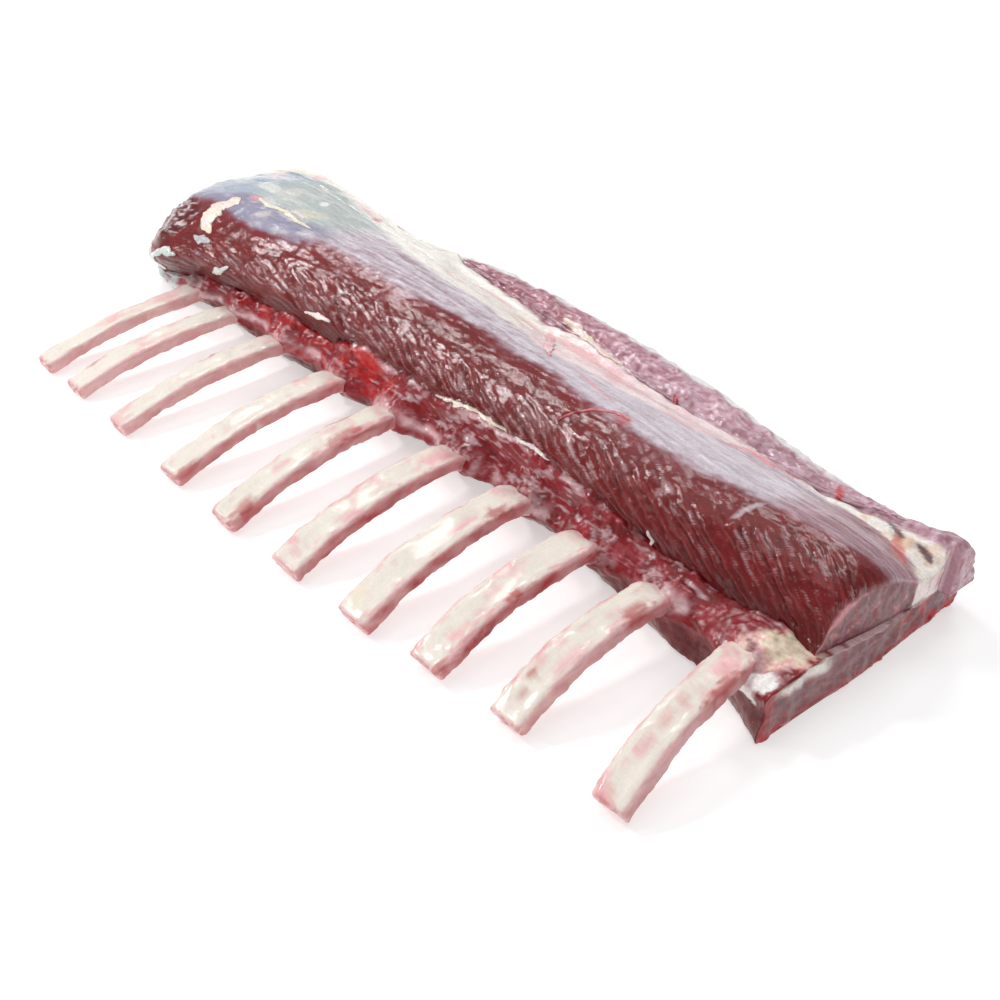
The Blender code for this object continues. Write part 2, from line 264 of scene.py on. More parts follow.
def seam_z(x, y):
    """Height of the seam between the plate and what lies on it."""
    groove_y, groove_z = float(along(GROOVE_Y, x)), float(along(GROOVE_Z, x))
    edge_y = float(along(EDGE_Y, x))
    return np.interp(y, (groove_y, groove_y + 8, SEAM_MIDDLE_Y, RIDGE_Y, edge_y),
                     (groove_z, groove_z - 2, groove_z / 2 + 5, SEAM_BACK_Z, EDGE_Z))


def loin_chains(part, x, count):
    """Upper and lower chains of a loin or fat section, with equal counts."""
    top = split_skin(x)[part]
    low_y = top[0, 0] if part == 0 else top[0, 0] - 2
    high_y = top[-1, 0] if part == 2 else top[-1, 0] - (2 if part == 0 else 4)
    if part == 2:
        low_y = top[0, 0] - 4
    upper = resample(top, count)
    ys = np.linspace(low_y, high_y, count)
    lower = np.column_stack([ys, seam_z(x, ys), upper[:, 2]])
    if part == 0:
        lower[0] = upper[0]
    if part == 2:
        lower[-1] = upper[-1]
    return upper, lower


def plate_chains(x, count):
    """Outer line of the plate over the lip to the far edge, and its underside."""
    dip = SCALLOP_DEPTH * float(scallop(x))
    lip_y, lip_z = float(along(LIP_Y, x)) + dip, float(along(LIP_Z, x))
    floor_y = float(along(FLOOR_Y, x))
    groove_y, groove_z = float(along(GROOVE_Y, x)), float(along(GROOVE_Z, x))
    edge_y = float(along(EDGE_Y, x))
    front = np.array((
        (floor_y, 0.0), (floor_y - 2.5, 2.0), (lip_y + 0.5, lip_z * 0.6),
        (lip_y, lip_z * 0.82), (lip_y + 1.5, lip_z),
        (lip_y + (groove_y - lip_y) * 0.45, lip_z + (groove_z - lip_z) * 0.6),
        (groove_y, groove_z)))
    front = spline_weights(7, 12) @ front
    front[:, 1] = np.maximum(front[:, 1], 0.0)
    ys = np.linspace(groove_y, edge_y, 40)[1:]
    seam = np.column_stack([ys, seam_z(x, ys)])
    back = np.array(((edge_y - 0.5, 4.0), (edge_y - 4.0, 0.0)))
    front_count = int(count * PLATE_FRONT)
    back_count = int(count * PLATE_BACK)
    seam_count = count - front_count - back_count
    upper = np.vstack([
        resample(front, front_count),
        resample(np.vstack([front[-1], seam]), seam_count + 1)[1:],
        resample(np.vstack([seam[-1], back]), back_count + 1)[1:]])
    ys = np.linspace(floor_y, edge_y - 4.0, count)
    lower = np.column_stack([ys, np.zeros(count)])
    return upper, lower


def round_far(x, line):
    """Draw a section in towards the middle near the far end."""
    reach = max(0.0, (FAR_END + FAR_ROUND - x) / FAR_ROUND)
    scale = 1 - FAR_SHRINK * (1 - math.sqrt(max(0.0, 1 - reach ** 2)))
    out = line.copy()
    out[:, 0] = ROUND_CENTRE_Y + (out[:, 0] - ROUND_CENTRE_Y) * scale
    out[:, 1] = out[:, 1] * scale
    return out


def round_near(x, line, end, depth, base, top):
    """Lower what stands above base a little just before the near end of a loin."""
    reach = max(0.0, (x - (end - NEAR_ROUND)) / NEAR_ROUND)
    drop = depth * (1 - math.sqrt(max(0.0, 1 - reach ** 2)))
    out = line.copy()
    out[:, 1] -= drop * np.maximum(0.0, (out[:, 1] - base) / (top - base))
    return out


def fine_stations(end):
    """Stations along the rack, closer where the ends are rounded."""
    turn = np.linspace(0.0, np.pi / 2, 26)[:-1]
    far = FAR_END + FAR_ROUND * (1 - np.cos(turn))
    start, stop = FAR_END + FAR_ROUND, end - NEAR_ROUND
    middle = np.linspace(start, stop, int((stop - start) / STEP))
    near = end - NEAR_ROUND * (1 - np.sin(np.linspace(0.0, np.pi / 2, 14)[1:]))
    return np.concatenate([far, middle, near])


# ---- Meshes ----
class Grid:
    """A closed body: rings of an upper and a lower chain, with finely meshed end caps.

    points is (n, 3), faces are index quads, and tags holds one value per point and name, such
    as the place on the skin, which the relief and the paint read.
    """

    def __init__(self, name):
        self.name = name
        self.points = []
        self.quads = []
        self.tags = {}
        self.count = 0

    def add_block(self, block, **tags):
        """Adds a (rows, columns, 3) sheet of points and its faces."""
        rows, columns = block.shape[:2]
        index = self.count + np.arange(rows * columns).reshape(rows, columns)
        self.points.append(block.reshape(-1, 3))
        self.quads.append(np.stack([index[:-1, :-1], index[1:, :-1], index[1:, 1:],
                                    index[:-1, 1:]], axis=-1).reshape(-1, 4))
        for key, value in tags.items():
            full = np.broadcast_to(np.asarray(value, float), (rows, columns))
            self.tags.setdefault(key, []).append(full.reshape(-1))
        self.count += rows * columns
        return index

    def finish(self):
        self.points = np.vstack(self.points)
        self.quads = np.vstack(self.quads)
        self.tags = {key: np.concatenate(value) for key, value in self.tags.items()}
        self.weld()

    def weld(self):
        """Merges points that lie in the same place."""
        keys = np.round(self.points * 500).astype(np.int64)
        _, first, inverse = np.unique(keys, axis=0, return_index=True, return_inverse=True)
        inverse = inverse.reshape(-1)
        self.points = self.points[first]
        self.tags = {key: value[first] for key, value in self.tags.items()}
        self.quads = inverse[self.quads]

    def normals(self):
        """Point normals, facing out."""
        p = self.points
        q = self.quads
        face = np.cross(p[q[:, 2]] - p[q[:, 0]], p[q[:, 3]] - p[q[:, 1]])
        out = np.zeros_like(p)
        for k in range(4):
            np.add.at(out, q[:, k], face)
        length = np.linalg.norm(out, axis=1, keepdims=True)
        return out / np.maximum(length, 1e-9)

    def face_out(self):
        """Turns every face round if the body's volume is negative."""
        p, q = self.points, self.quads
        centre = p.mean(axis=0)
        a, b, c, d = (p[q[:, k]] - centre for k in range(4))
        volume = np.einsum("ij,ij->i", a, np.cross(b, c)).sum()
        volume += np.einsum("ij,ij->i", a, np.cross(c, d)).sum()
        if volume < 0:
            self.quads = q[:, ::-1]


def cap_block(upper, lower, rows):
    """Sheet of points that closes a section between its two chains."""
    t = np.linspace(0.0, 1.0, rows)[:, None, None]
    return upper[None] * (1 - t) + lower[None] * t


SHEEN = 0.022                          # what the wet coat adds to every colour under this light
LEAST_SHARE = 0.3                      # of a colour that is left when the sheen is taken off


def work_to_row():
    """Offset in millimetres from the working frame to the row frame, read off the CAD boxes."""
    plate_low, plate_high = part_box("rib_plate")
    start = FAR_END + FAR_ROUND
    widest = max(float(along(EDGE_Y, start + (-6.0 - start) * i / 35)) for i in range(35))
    return np.array((plate_low[0] / MM - FAR_END, plate_high[1] / MM - widest, 0.0))


SHIFT = work_to_row()


def add_faces(mesh, quads):
    """Gives the mesh its faces; quads with welded corners become triangles or are left out."""
    corners, starts, sizes = [], [], []
    for quad in quads:
        face = list(dict.fromkeys(quad.tolist()))
        if len(face) >= 3:
            starts.append(len(corners))
            sizes.append(len(face))
            corners.extend(face)
    mesh.loops.add(len(corners))
    mesh.loops.foreach_set("vertex_index", corners)
    mesh.polygons.add(len(starts))
    mesh.polygons.foreach_set("loop_start", starts)
    mesh.polygons.foreach_set("loop_total", sizes)
    mesh.update(calc_edges=True)
    mesh.validate()
    mesh.polygons.foreach_set("use_smooth", [True] * len(mesh.polygons))


def add_layer(mesh, name, kind, field, values):
    """Stores one value per point, for the material to read."""
    layer = mesh.attributes.new(name, kind, "POINT")
    layer.data.foreach_set(field, np.asarray(values, np.float32).ravel())


def make_object(grid, material, replaced, slot, colours, gloss, grain):
    """Blender object from a finished grid, with painted points and its place in the frame."""
    mesh = bpy.data.meshes.new(grid.name)
    mesh.vertices.add(len(grid.points))
    mesh.vertices.foreach_set("co", ((grid.points + SHIFT) * MM).astype(np.float32).ravel())
    add_faces(mesh, grid.quads)
    rgba = np.ones((len(grid.points), 4), np.float32)
    rgba[:, :3] = np.maximum(colours - SHEEN, colours * LEAST_SHARE)
    add_layer(mesh, "paint", "FLOAT_COLOR", "color", rgba)
    add_layer(mesh, "gloss", "FLOAT", "value", gloss)
    add_layer(mesh, "grain", "FLOAT_VECTOR", "vector", grain)
    mesh.materials.append(material)
    piece = bpy.data.objects.new(grid.name, mesh)
    bpy.context.scene.collection.objects.link(piece)
    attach(piece, "root")
    if replaced:
        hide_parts(replaced)


# ---- Bodies ----
def loin_grid(name, part, end, count, depth, base):
    """Fine mesh of the near loin (part 0), fat (1) or far loin (2)."""
    grid = Grid(name)
    uppers, lowers = [], []
    xs = fine_stations(end)
    for x in xs:
        upper, lower = loin_chains(part, x, count)
        upper, lower = round_far(x, upper), round_far(x, lower)
        top = max(upper[:, 1])
        uppers.append(round_near(x, upper, end, depth, base, top))
        lowers.append(round_near(x, lower, end, depth, base, top))
    uppers, lowers = np.array(uppers), np.array(lowers)
    x_top = np.broadcast_to(xs[:, None], uppers.shape[:2])
    top_block = np.dstack([x_top, uppers[..., 0], uppers[..., 1]])
    low_block = np.dstack([x_top, lowers[..., 0], lowers[..., 1]])
    return close_body(grid, top_block, low_block, uppers[..., 2], LOIN_CAP_ROWS)


def close_body(grid, top_block, low_block, v, rows):
    """Makes a body of its upper and lower sheets, with side walls and end caps.

    The lower sheet keeps one column in LOWER_EVERY, and the lower edges of the caps are drawn
    to the points it keeps.
    """
    grid.add_block(top_block, v=v, zone=OPEN)
    kept = slice(None, None, LOWER_EVERY)
    grid.add_block(low_block[:, kept][:, ::-1], v=v[:, kept][:, ::-1], zone=UNDER)
    close_sides(grid, top_block, low_block, v, rows)
    nearest = np.arange(v.shape[1]) + LOWER_EVERY // 2
    nearest = nearest // LOWER_EVERY * LOWER_EVERY
    for at in (0, -1):
        cap = cap_block(top_block[at], low_block[at], rows)
        cap[-1] = cap[-1][nearest]
        if at == 0:
            cap = cap[::-1]
        grid.add_block(cap, v=v[at][None], zone=NEAR_CUT if at else FAR_CUT)
    grid.finish()
    grid.face_out()
    return grid


def close_sides(grid, top_block, low_block, v, rows):
    """Walls between the ends of the two chains, where they don't meet in a point."""
    for column, flip in ((0, True), (-1, False)):
        gap = np.abs(top_block[:, column] - low_block[:, column]).max()
        if gap < 0.01:
            continue
        t = np.linspace(0.0, 1.0, rows)[None, :, None]
        wall = top_block[:, column][:, None] * (1 - t) + low_block[:, column][:, None] * t
        if flip:
            wall = wall[:, ::-1]
        grid.add_block(wall, v=v[:, column][:, None], zone=UNDER)


def cut_back(x, y):
    """How far the plate's near cut is set back at this Y, fading out along the rack."""
    fade = max(0.0, (x - CUT_BACK_START_X) / (PLATE_END - CUT_BACK_START_X))
    return CUT_BACK * fade * np.clip((y - CUT_BACK_FROM_Y) / CUT_BACK_SPAN_Y, 0.0, 1.0)


def plate_grid(count):
    grid = Grid("rib_plate_meat")
    xs = fine_stations(PLATE_END)
    uppers, lowers = [], []
    for x in xs:
        upper, lower = plate_chains(x, count)
        upper, lower = round_far(x, upper), round_far(x, lower)
        uppers.append(np.column_stack([x - cut_back(x, upper[:, 0]), upper]))
        lowers.append(np.column_stack([x - cut_back(x, lower[:, 0]), lower]))
    top_block, low_block = np.array(uppers), np.array(lowers)
    share = np.broadcast_to(np.linspace(0.0, 1.0, count)[None], top_block.shape[:2])
    return close_body(grid, top_block, low_block, share, PLATE_CAP_ROWS)


def rib_bottom_z(y, arch, tip_y):
    """Underside of a rib: rises from the floor to a crest, then settles inside the meat."""
    t = (y - tip_y) / (RIB_CREST_Y - tip_y)
    free = arch * (1 - (1 - np.minimum(t, 1.0)) ** 2)
    s = np.clip((y - RIB_FALL_Y) / (RIB_SETTLE_Y - RIB_FALL_Y), 0.0, 1.0)
    inner = RIB_INNER_Z + (arch - RIB_INNER_Z) * (0.5 + 0.5 * np.cos(np.pi * s))
    return np.where(y < RIB_CREST_Y, free, inner)


def rib_ring(rib, y, angle):
    """Section of a rib at Y along it: a rounded bar that leans with the rib's arch."""
    tip_x, entry_x, tip_width, inner_width, arch, tip_y, thickness = rib
    t = min(1.0, (y - tip_y) / (RIB_ENTRY_Y - tip_y))
    rise = float(rib_bottom_z(y + 0.5, arch, tip_y) - rib_bottom_z(y - 0.5, arch, tip_y))
    tilt = math.atan(rise)
    reach = max(0.0, 1 - (y - tip_y) / RIB_TIP_ROUND)
    inset = RIB_TIP_INSET * (1 - math.sqrt(max(0.0, 1 - reach ** 2)))
    sunk = float(smooth(*RIB_SUNK_Y, y))
    half = (tip_width + (inner_width - tip_width) * t) / 2 - RIB_SUNK_NARROWS * sunk
    z = float(rib_bottom_z(y, arch, tip_y)) - RIB_SUNK_DROP * sunk
    c, s = np.cos(angle), np.sin(angle)
    side = np.sign(c) * np.abs(c) ** RIB_SQUARENESS * (half - inset)
    up = thickness / 2 + np.sign(s) * np.abs(s) ** RIB_SQUARENESS * (thickness / 2 - inset)
    return np.column_stack([tip_x + (entry_x - tip_x) * t + side, y - up * math.sin(tilt),
                            z + up * math.cos(tilt)])


def rib_grid(number, rib):
    """Fine mesh of one rib, with a rounded cut tip."""
    tip_y = rib[5]
    grid = Grid("rib_bone_%02d" % number)
    turn = np.linspace(0, np.pi / 2, 6)[:-1]
    ys = np.concatenate([tip_y + RIB_TIP_ROUND * (1 - np.cos(turn)),
                         np.linspace(tip_y + RIB_TIP_ROUND, RIB_INNER_END_Y, RIB_ROWS)])
    angle = np.linspace(0.0, 2 * np.pi, RIB_COLUMNS, endpoint=False)
    rings = np.array([rib_ring(rib, y, angle) for y in ys])
    closed = np.concatenate([rings, rings[:, :1]], axis=1)
    turn = np.broadcast_to(np.append(angle, 2 * np.pi)[None], closed.shape[:2])
    along_rib = np.broadcast_to(ys[:, None], closed.shape[:2])
    grid.add_block(closed, v=turn, zone=OPEN, run=along_rib)
    for at, zone in ((0, NEAR_CUT), (-1, FAR_CUT)):
        centre = np.broadcast_to(rings[at].mean(axis=0), closed[at].shape)
        cap = cap_block(closed[at], centre, 8)
        grid.add_block(cap if at else cap[::-1], v=turn[at][None], zone=zone, run=ys[at])
    grid.finish()
    grid.face_out()
    return grid


# ---- Where things lie on the skin: X and T, the way up from the groove, both in millimetres ----
GIRTH = 140.0                          # T at the far edge

SILVER_FROM = ((-393, 47), (-370, 46), (-350, 41), (-330, 37), (-310, 39), (-300, 43),
               (-280, 45), (-260, 46), (-240, 43), (-220, 46), (-140, 46), (-100, 43.5),
               (-80, 45), (-60, 48), (-50, 50), (-40, 52), (-20, 54), (0, 56))
CREAM_FROM = ((-393, 58), (-380, 60), (-372, 95), (-355, 98), (-345, 100), (-320, 94),
              (-300, 88), (-280, 78), (-262, 70), (-240, 68.5), (-200, 67), (-185, 62),
              (-170, 60), (-150, 64), (-130, 67), (-110, 70), (-95, 73), (-88, 86),
              (-82, 95), (-60, 96.5), (-40, 99.5), (-20, 98), (-5, 90), (2, 78))
CREAM_TO = ((-393, 150), (-289, 150), (-286, 126), (-278, 115), (-265, 106.5), (-245, 103.5),
            (-220, 101), (-205, 99.5), (-190, 102), (-170, 101), (-150, 97.5), (-130, 97),
            (-110, 98.5), (-85, 101), (-60, 102), (-40, 104), (-20, 106), (8, 103))
STRIP_TO = ((-264, -2), (-255, 5), (-245, 9), (-238, 11), (-228, 7), (-215, 8), (-205, 9),
            (-193, 8), (-180, 12.5), (-165, 13), (-150, 13.5), (-138, 13), (-128, 12.5),
            (-110, 11), (-100, 8.5), (-90, 6), (-80, 3), (-68, -2))
FIBRE_LEAN = ((-393, 16), (-340, 20), (-280, 24), (-200, 26), (-120, 28), (-60, 38), (-20, 46),
              (3, 52))                 # degrees from the X axis
NEAR_BAND_FROM = ((-60, 97), (-40, 99.5), (-20, 98), (-8, 94), (6, 86))
NEAR_BAND_TO = ((-60, 101), (-40, 104), (-20, 106), (6, 103))
FIBRE_TOP = ((-393, 30), (-330, 34), (-280, 36), (-100, 34), (-60, 38), (-30, 48), (3, 52))


def read_line(points, x):
    """Broken line through (X, value) points, read at x."""
    return np.interp(x, [p[0] for p in points], [p[1] for p in points])


def strip_edge(x):
    """T of the upper edge of the plate's meat where it laps over the foot of the loin."""
    return read_line(STRIP_TO, x) + 0.8 * fbm(x / 5, 0.0, 0.0, 55, 2)


def fibre_places(x, t):
    """Distance across the muscle fibres and along them, both in millimetres."""
    xs = np.linspace(FAR_END - 5, LOBE_END + 5, 400)
    lean = np.radians(read_line(FIBRE_LEAN, xs))
    gone = np.concatenate([[0.0], np.cumsum(np.sin(lean[:-1]) * np.diff(xs))])
    here = np.radians(read_line(FIBRE_LEAN, x))
    across = np.interp(x, xs, gone) + t * np.cos(here)
    lengthwise = x * np.cos(here) - t * np.sin(here)
    return across, lengthwise


def wet_end(x, t):
    """1 in the lumpy wet patch at the far end."""
    return blot(x, t, (-381, 34), (18, 13), 0, 0.3, 59)


def crease(u):
    """Rounded ridges with sharp valleys at whole numbers, 0 in a valley and 1 on a ridge."""
    return np.sqrt(np.abs(np.sin(np.pi * u)))


def blot(x, t, at, size, lean=0.0, rag=0.35, seed=1):
    """Ragged spot round at=(X, T) with half sizes, turned by lean degrees; 1 inside."""
    a = math.radians(lean)
    dx, dt = x - at[0], t - at[1]
    u = (dx * math.cos(a) + dt * math.sin(a)) / size[0]
    w = (dt * math.cos(a) - dx * math.sin(a)) / size[1]
    r = np.sqrt(u * u + w * w) + rag * fbm(x / 3.1, t / 3.1, 0.37, seed, 3)
    return 1 - smooth(0.72, 1.12, r)


# ---- Relief, in millimetres along the normal ----
def fibre_relief(x, t):
    """Diagonal grooves of the bare muscle: relief, and how strongly they show."""
    across, lengthwise = fibre_places(x, t)
    warp = 0.55 * fbm(x / 17, t / 13, 0.5, 21, 3)
    coarse = crease(across / 4.1 + warp)
    small = crease(across / 2.3 + 1.3 * warp + 0.3)
    patchy = smooth(-0.45, 0.35, fbm(across / 7, lengthwise / 26, 0.2, 31, 2))
    top = read_line(FIBRE_TOP, x)
    inside = 1 - smooth(top - 17, top + 1, t + 6 * fbm(x / 12, t / 12, 0.9, 41, 2))
    inside = inside * smooth(-393, -345, x)
    depth = inside * (0.25 + 0.75 * patchy)
    return depth * (2.2 * (coarse - 0.8) + 0.35 * (small - 0.7)), depth, coarse * small ** 0.3


def skin_relief(x, t):
    """Relief of the upper side of the loins and the fat."""
    lumps = 0.9 * fbm(x / 38, t / 30, 0.1, 51, 3) + 0.35 * fbm(x / 9, t / 7, 0.6, 52, 2)
    fibres, depth, _ = fibre_relief(x, t)
    wrinkles = 0.22 * fbm(x / 12, t / 2.2, 0.3, 53, 3) * (1 - depth)
    fine = 0.12 * fbm(x / 2.2, t / 2.2, 0.3, 54, 2)
    out = lumps + fibres + wrinkles + fine
    strip = strip_edge(x)
    fill = 1.6 + 2.2 * np.clip(1 - t / np.maximum(strip, 1.0), 0.0, 1.0)
    out = out + fill * (1 - smooth(strip - 0.8, strip + 0.2, t)) * smooth(-3, 3, strip)
    out = out - 1.1 * np.exp(-((t - strip - 2.2) / 1.6) ** 2) * smooth(-1, 3, strip)
    valley = read_line(CREAM_TO, x) + 1.5 * fbm(x / 8, 0.0, 0.5, 56, 2)
    out = out - 1.6 * np.exp(-((t - valley - 2.0) / 2.4) ** 2) * smooth(-289, -270, x)
    out = out + 0.7 * np.exp(-((t - valley + 2.5) / 2.5) ** 2) * smooth(-289, -270, x)
    far = smooth(valley, valley + 4, t)
    out = out + far * 0.9 * fbm(x / 7, t / 5, 0.8, 57, 3)
    near_fat = smooth(-34, -12, x) * smooth(90, 98, t) * (1 - smooth(106, 112, t))
    out = out + near_fat * (0.7 + 1.3 * fbm(x / 6, t / 6, 0.4, 58, 3))
    return out + wet_end(x, t) * 0.9 * fbm(x / 3.0, t / 3.0, 0.7, 60, 3)


def displace(grid, amount):
    grid.points = grid.points + grid.normals() * amount[:, None]


# ---- Colours ----
def srgb(stain_and_shade_red, green, blue):
    """Linear colour from 0..255 sRGB values."""
    c = np.array((stain_and_shade_red, green, blue), float) / 255
    return np.where(c <= 0.04045, c / 12.92, ((c + 0.055) / 1.055) ** 2.4)


MAROON = srgb(128, 36, 40)
# deep red: the muscle's darker tone, also painted as shade in the groove valleys and along the
# loin's foot
DEEP = srgb(92, 16, 18)
# paler red painted on the groove ridges as painted light
LIT_RIDGE_RED = srgb(152, 78, 80)
# pale pink-white of the painted highlights: glints and sheen painted into the colour
PAINTED_GLINT = srgb(222, 205, 210)
PURPLE = srgb(152, 96, 106)
SILVER = srgb(196, 182, 192)
PALE_SILVER = srgb(226, 218, 228)
BLUE_GREY = srgb(184, 198, 212)
VIOLET_GREY = srgb(156, 156, 178)
GREEN_GREY = srgb(194, 206, 204)
CREAM = srgb(243, 238, 230)
YELLOW_CREAM = srgb(238, 226, 200)
ORANGE_CREAM = srgb(240, 208, 180)
PINK_CREAM = srgb(250, 222, 226)
PINK = srgb(236, 158, 166)
WHITE = srgb(246, 246, 244)
FAR_RED = srgb(160, 100, 110)
FAR_MAUVE = srgb(212, 182, 196)
PLATE_RED = srgb(150, 52, 60)
# dark plate red: the meat's darker tone, also painted as shade low on the lip
PLATE_DARK = srgb(104, 24, 28)
BRIGHT_RED = srgb(200, 50, 52)
BLOOD = srgb(176, 52, 56)
CUT_BROWN = srgb(142, 78, 80)
CUT_GREY = srgb(126, 92, 98)
IVORY = srgb(236, 225, 216)
GREEN_IVORY = srgb(228, 227, 213)
BONE_PINK = srgb(232, 188, 188)
# dark bone red of the ribs' side band: blood stain, and painted shade
BONE_RED = srgb(158, 70, 72)
SLIT_BROWN = srgb(96, 66, 78)
MEMBRANE_RED = srgb(170, 98, 104)
MEMBRANE_PALE = srgb(206, 172, 174)
# pale tone of the painted glint specks
GLINT_SPECK_PALE = srgb(214, 190, 196)


def plain(colour, like):
    """The colour once for each entry of like."""
    return np.broadcast_to(colour, (len(like), 3))


def mix(a, b, t):
    t = np.clip(np.asarray(t), 0.0, 1.0)
    t = t[:, None] if t.ndim else t
    return a * (1 - t) + b * t


def bump_mask(value, low, high, soft):
    """1 between low and high, fading over soft."""
    return smooth(low - soft, low + soft, value) * (1 - smooth(high - soft, high + soft, value))


# at (X, T), half sizes, lean, colour, strength
SKIN_BLOTS = (
    ((-386, 84), (7, 26), 0, WHITE, 0.9),
    ((-347, 56), (3.0, 2.4), 0, PINK, 0.7),
    ((-318, 62), (9.0, 5.0), 20, YELLOW_CREAM, 0.45),
    ((-352, 68), (9.0, 3.5), -10, CREAM, 0.6),
    ((-325, 76), (1.9, 3.0), 20, WHITE, 0.95),
    ((-312, 98), (2.0, 5.0), 25, BRIGHT_RED, 0.65),
    ((-381, 121), (3.0, 8.0), 20, PINK, 0.6),
    ((-360, 103), (3.0, 9.0), 30, PINK, 0.6),
    ((-366, 84), (4.0, 8.0), 25, PINK, 0.3),
    ((-115, 47), (5.0, 3.5), -25, BRIGHT_RED, 0.45),
    ((-138, 56), (14.0, 1.0), -14, PINK, 0.6),
    ((-88, 90), (3.0, 9.0), -20, PINK, 0.7),
    ((-78, 96), (9.0, 3.0), -6, PINK, 0.8),
    ((-68, 99), (8.0, 3.5), 5, BRIGHT_RED, 0.4),
    ((-104, 70), (9.0, 2.0), 8, PINK, 0.5),
    ((-196, 90), (2.0, 9.0), 35, PINK, 0.5),
    ((-152, 84), (4.0, 20.0), 38, PINK, 0.35),
    ((-128, 98), (1.2, 4.0), 20, BRIGHT_RED, 0.5),
    # pale streak on the shoulder: a painted highlight, in the pale tone of silverskin
    ((-47, 42), (1.3, 10.0), -10, PALE_SILVER, 0.5),
    ((-66, 128), (1.6, 14.0), 28, BRIGHT_RED, 0.55),
    ((-46, 108), (1.8, 7.0), 30, BRIGHT_RED, 0.75),
    ((-10, 92), (2.4, 16.0), 30, BRIGHT_RED, 0.6),
)


class Skin:
    """Places (X, T) on the skin, with the noise that all its layers share."""

    def __init__(self, x, t):
        self.x, self.t = x, t
        self.wobble = 3.4 * fbm(x / 16, t / 9, 0.2, 3, 3) + 1.6 * fbm(x / 3.5, t / 2.5, 0.7, 4, 2)
        self.w = t + self.wobble       # T, moved so that borders come out ragged
        self.streak = fbm(x / 13, t / 1.3, 0.4, 5, 3)
        self.fleck = fbm(x / 1.8, t / 1.4, 0.8, 6, 2)
        self.mottle = fbm(x / 6, t / 5, 0.6, 7, 3)


def muscle_layer(skin):
    """Bare muscle: painted shade in the groove valleys and along its foot, painted light on the
    ridges, and thin painted highlights.
    """
    x, t, fleck = skin.x, skin.t, skin.fleck
    _, depth, coarse = fibre_relief(x, t)
    across, lengthwise = fibre_places(x, t)
    out = mix(plain(MAROON, x), DEEP, 0.35 + 0.45 * skin.mottle)
    # painted light: paler red on the ridge tops of the grooves
    out = mix(out, LIT_RIDGE_RED, depth * smooth(0.75, 1.0, coarse) * (0.3 + 0.5 * fleck))
    # painted shade: darker in the groove valleys
    out = mix(out, DEEP, depth * (1 - smooth(0.15, 0.6, coarse)) * 0.9)
    # painted shade: darker along the foot of the loin, next to the groove
    out = mix(out, DEEP, (1 - smooth(4, 18, t)) * 0.65)
    # painted highlights: thin pale glints along the ridges over the middle and near part
    painted_glint = smooth(0.35, 0.65, fbm(across / 1.4, lengthwise / 8, 0.1, 8, 2) + 0.3 * fleck)
    highlight_zone = bump_mask(t, 14, 42, 5) * smooth(-330, -280, x)
    return mix(out, PAINTED_GLINT, 0.34 * painted_glint * highlight_zone * smooth(0.6, 0.95, coarse))


def silver_layer(skin, out):
    """Silverskin over the crown: blue-grey at the far end, nearly bare at the near end."""
    x, t, w, streak = skin.x, skin.t, skin.w, skin.streak
    silver_from = read_line(SILVER_FROM, x)
    veil = smooth(silver_from - 9, silver_from + 3, w) * smooth(-0.4, 0.5, skin.mottle + 0.5)
    out = mix(out, PURPLE, 0.55 * veil)
    tone = mix(mix(plain(SILVER, x), PALE_SILVER, 0.5 + 0.9 * streak),
               PURPLE, 0.30 * smooth(-0.1, 0.6, -skin.fleck - streak))
    pale = smooth(-175, -150, x) * (1 - smooth(-52, -38, x))
    tone = mix(tone, PALE_SILVER, 0.55 * pale * bump_mask(w, 48, 80, 6))
    cool = mix(mix(plain(GREEN_GREY, x), BLUE_GREY, 1 - smooth(-360, -342, x)),
               VIOLET_GREY, 1 - smooth(52, 60, w))
    cool = mix(cool, CREAM, 0.5 * smooth(0.1, 0.7, fbm(x / 9, t / 6, 0.2, 11, 3)))
    tone = mix(tone, cool, 1 - smooth(-308, -285, x))
    bare = mix(plain(MAROON, x), FAR_MAUVE, 0.42 + 0.6 * streak)
    tone = mix(tone, bare, smooth(-52, -36, x) * (0.75 + 0.25 * streak))
    silver = smooth(silver_from - 2.5, silver_from + 5, w)
    return mix(out, tone, silver * (0.9 + 0.1 * streak))


def fat_layer(skin, out):
    """Cream and pink fat along the top, and how much of it covers each point."""
    x, t = skin.x, skin.t
    cream_from = read_line(CREAM_FROM, x)
    cream = smooth(cream_from - 2, cream_from + 5, skin.w)
    fat = mix(plain(CREAM, x), PINK_CREAM,
              smooth(-215, -165, x) * (1 - smooth(-60, -40, x)) * (0.75 + 0.5 * skin.streak))
    fat = mix(fat, PINK, 0.5 * smooth(0.25, 0.8, fbm(x / 30, t / 3.0, 0.9, 12, 3)))
    fat = mix(fat, YELLOW_CREAM, (1 - smooth(-362, -335, x)) * 0.8)
    fat = mix(fat, ORANGE_CREAM, smooth(-46, -22, x) * smooth(-0.2, 0.5, skin.mottle) * 0.6)
    return mix(out, fat, cream), cream


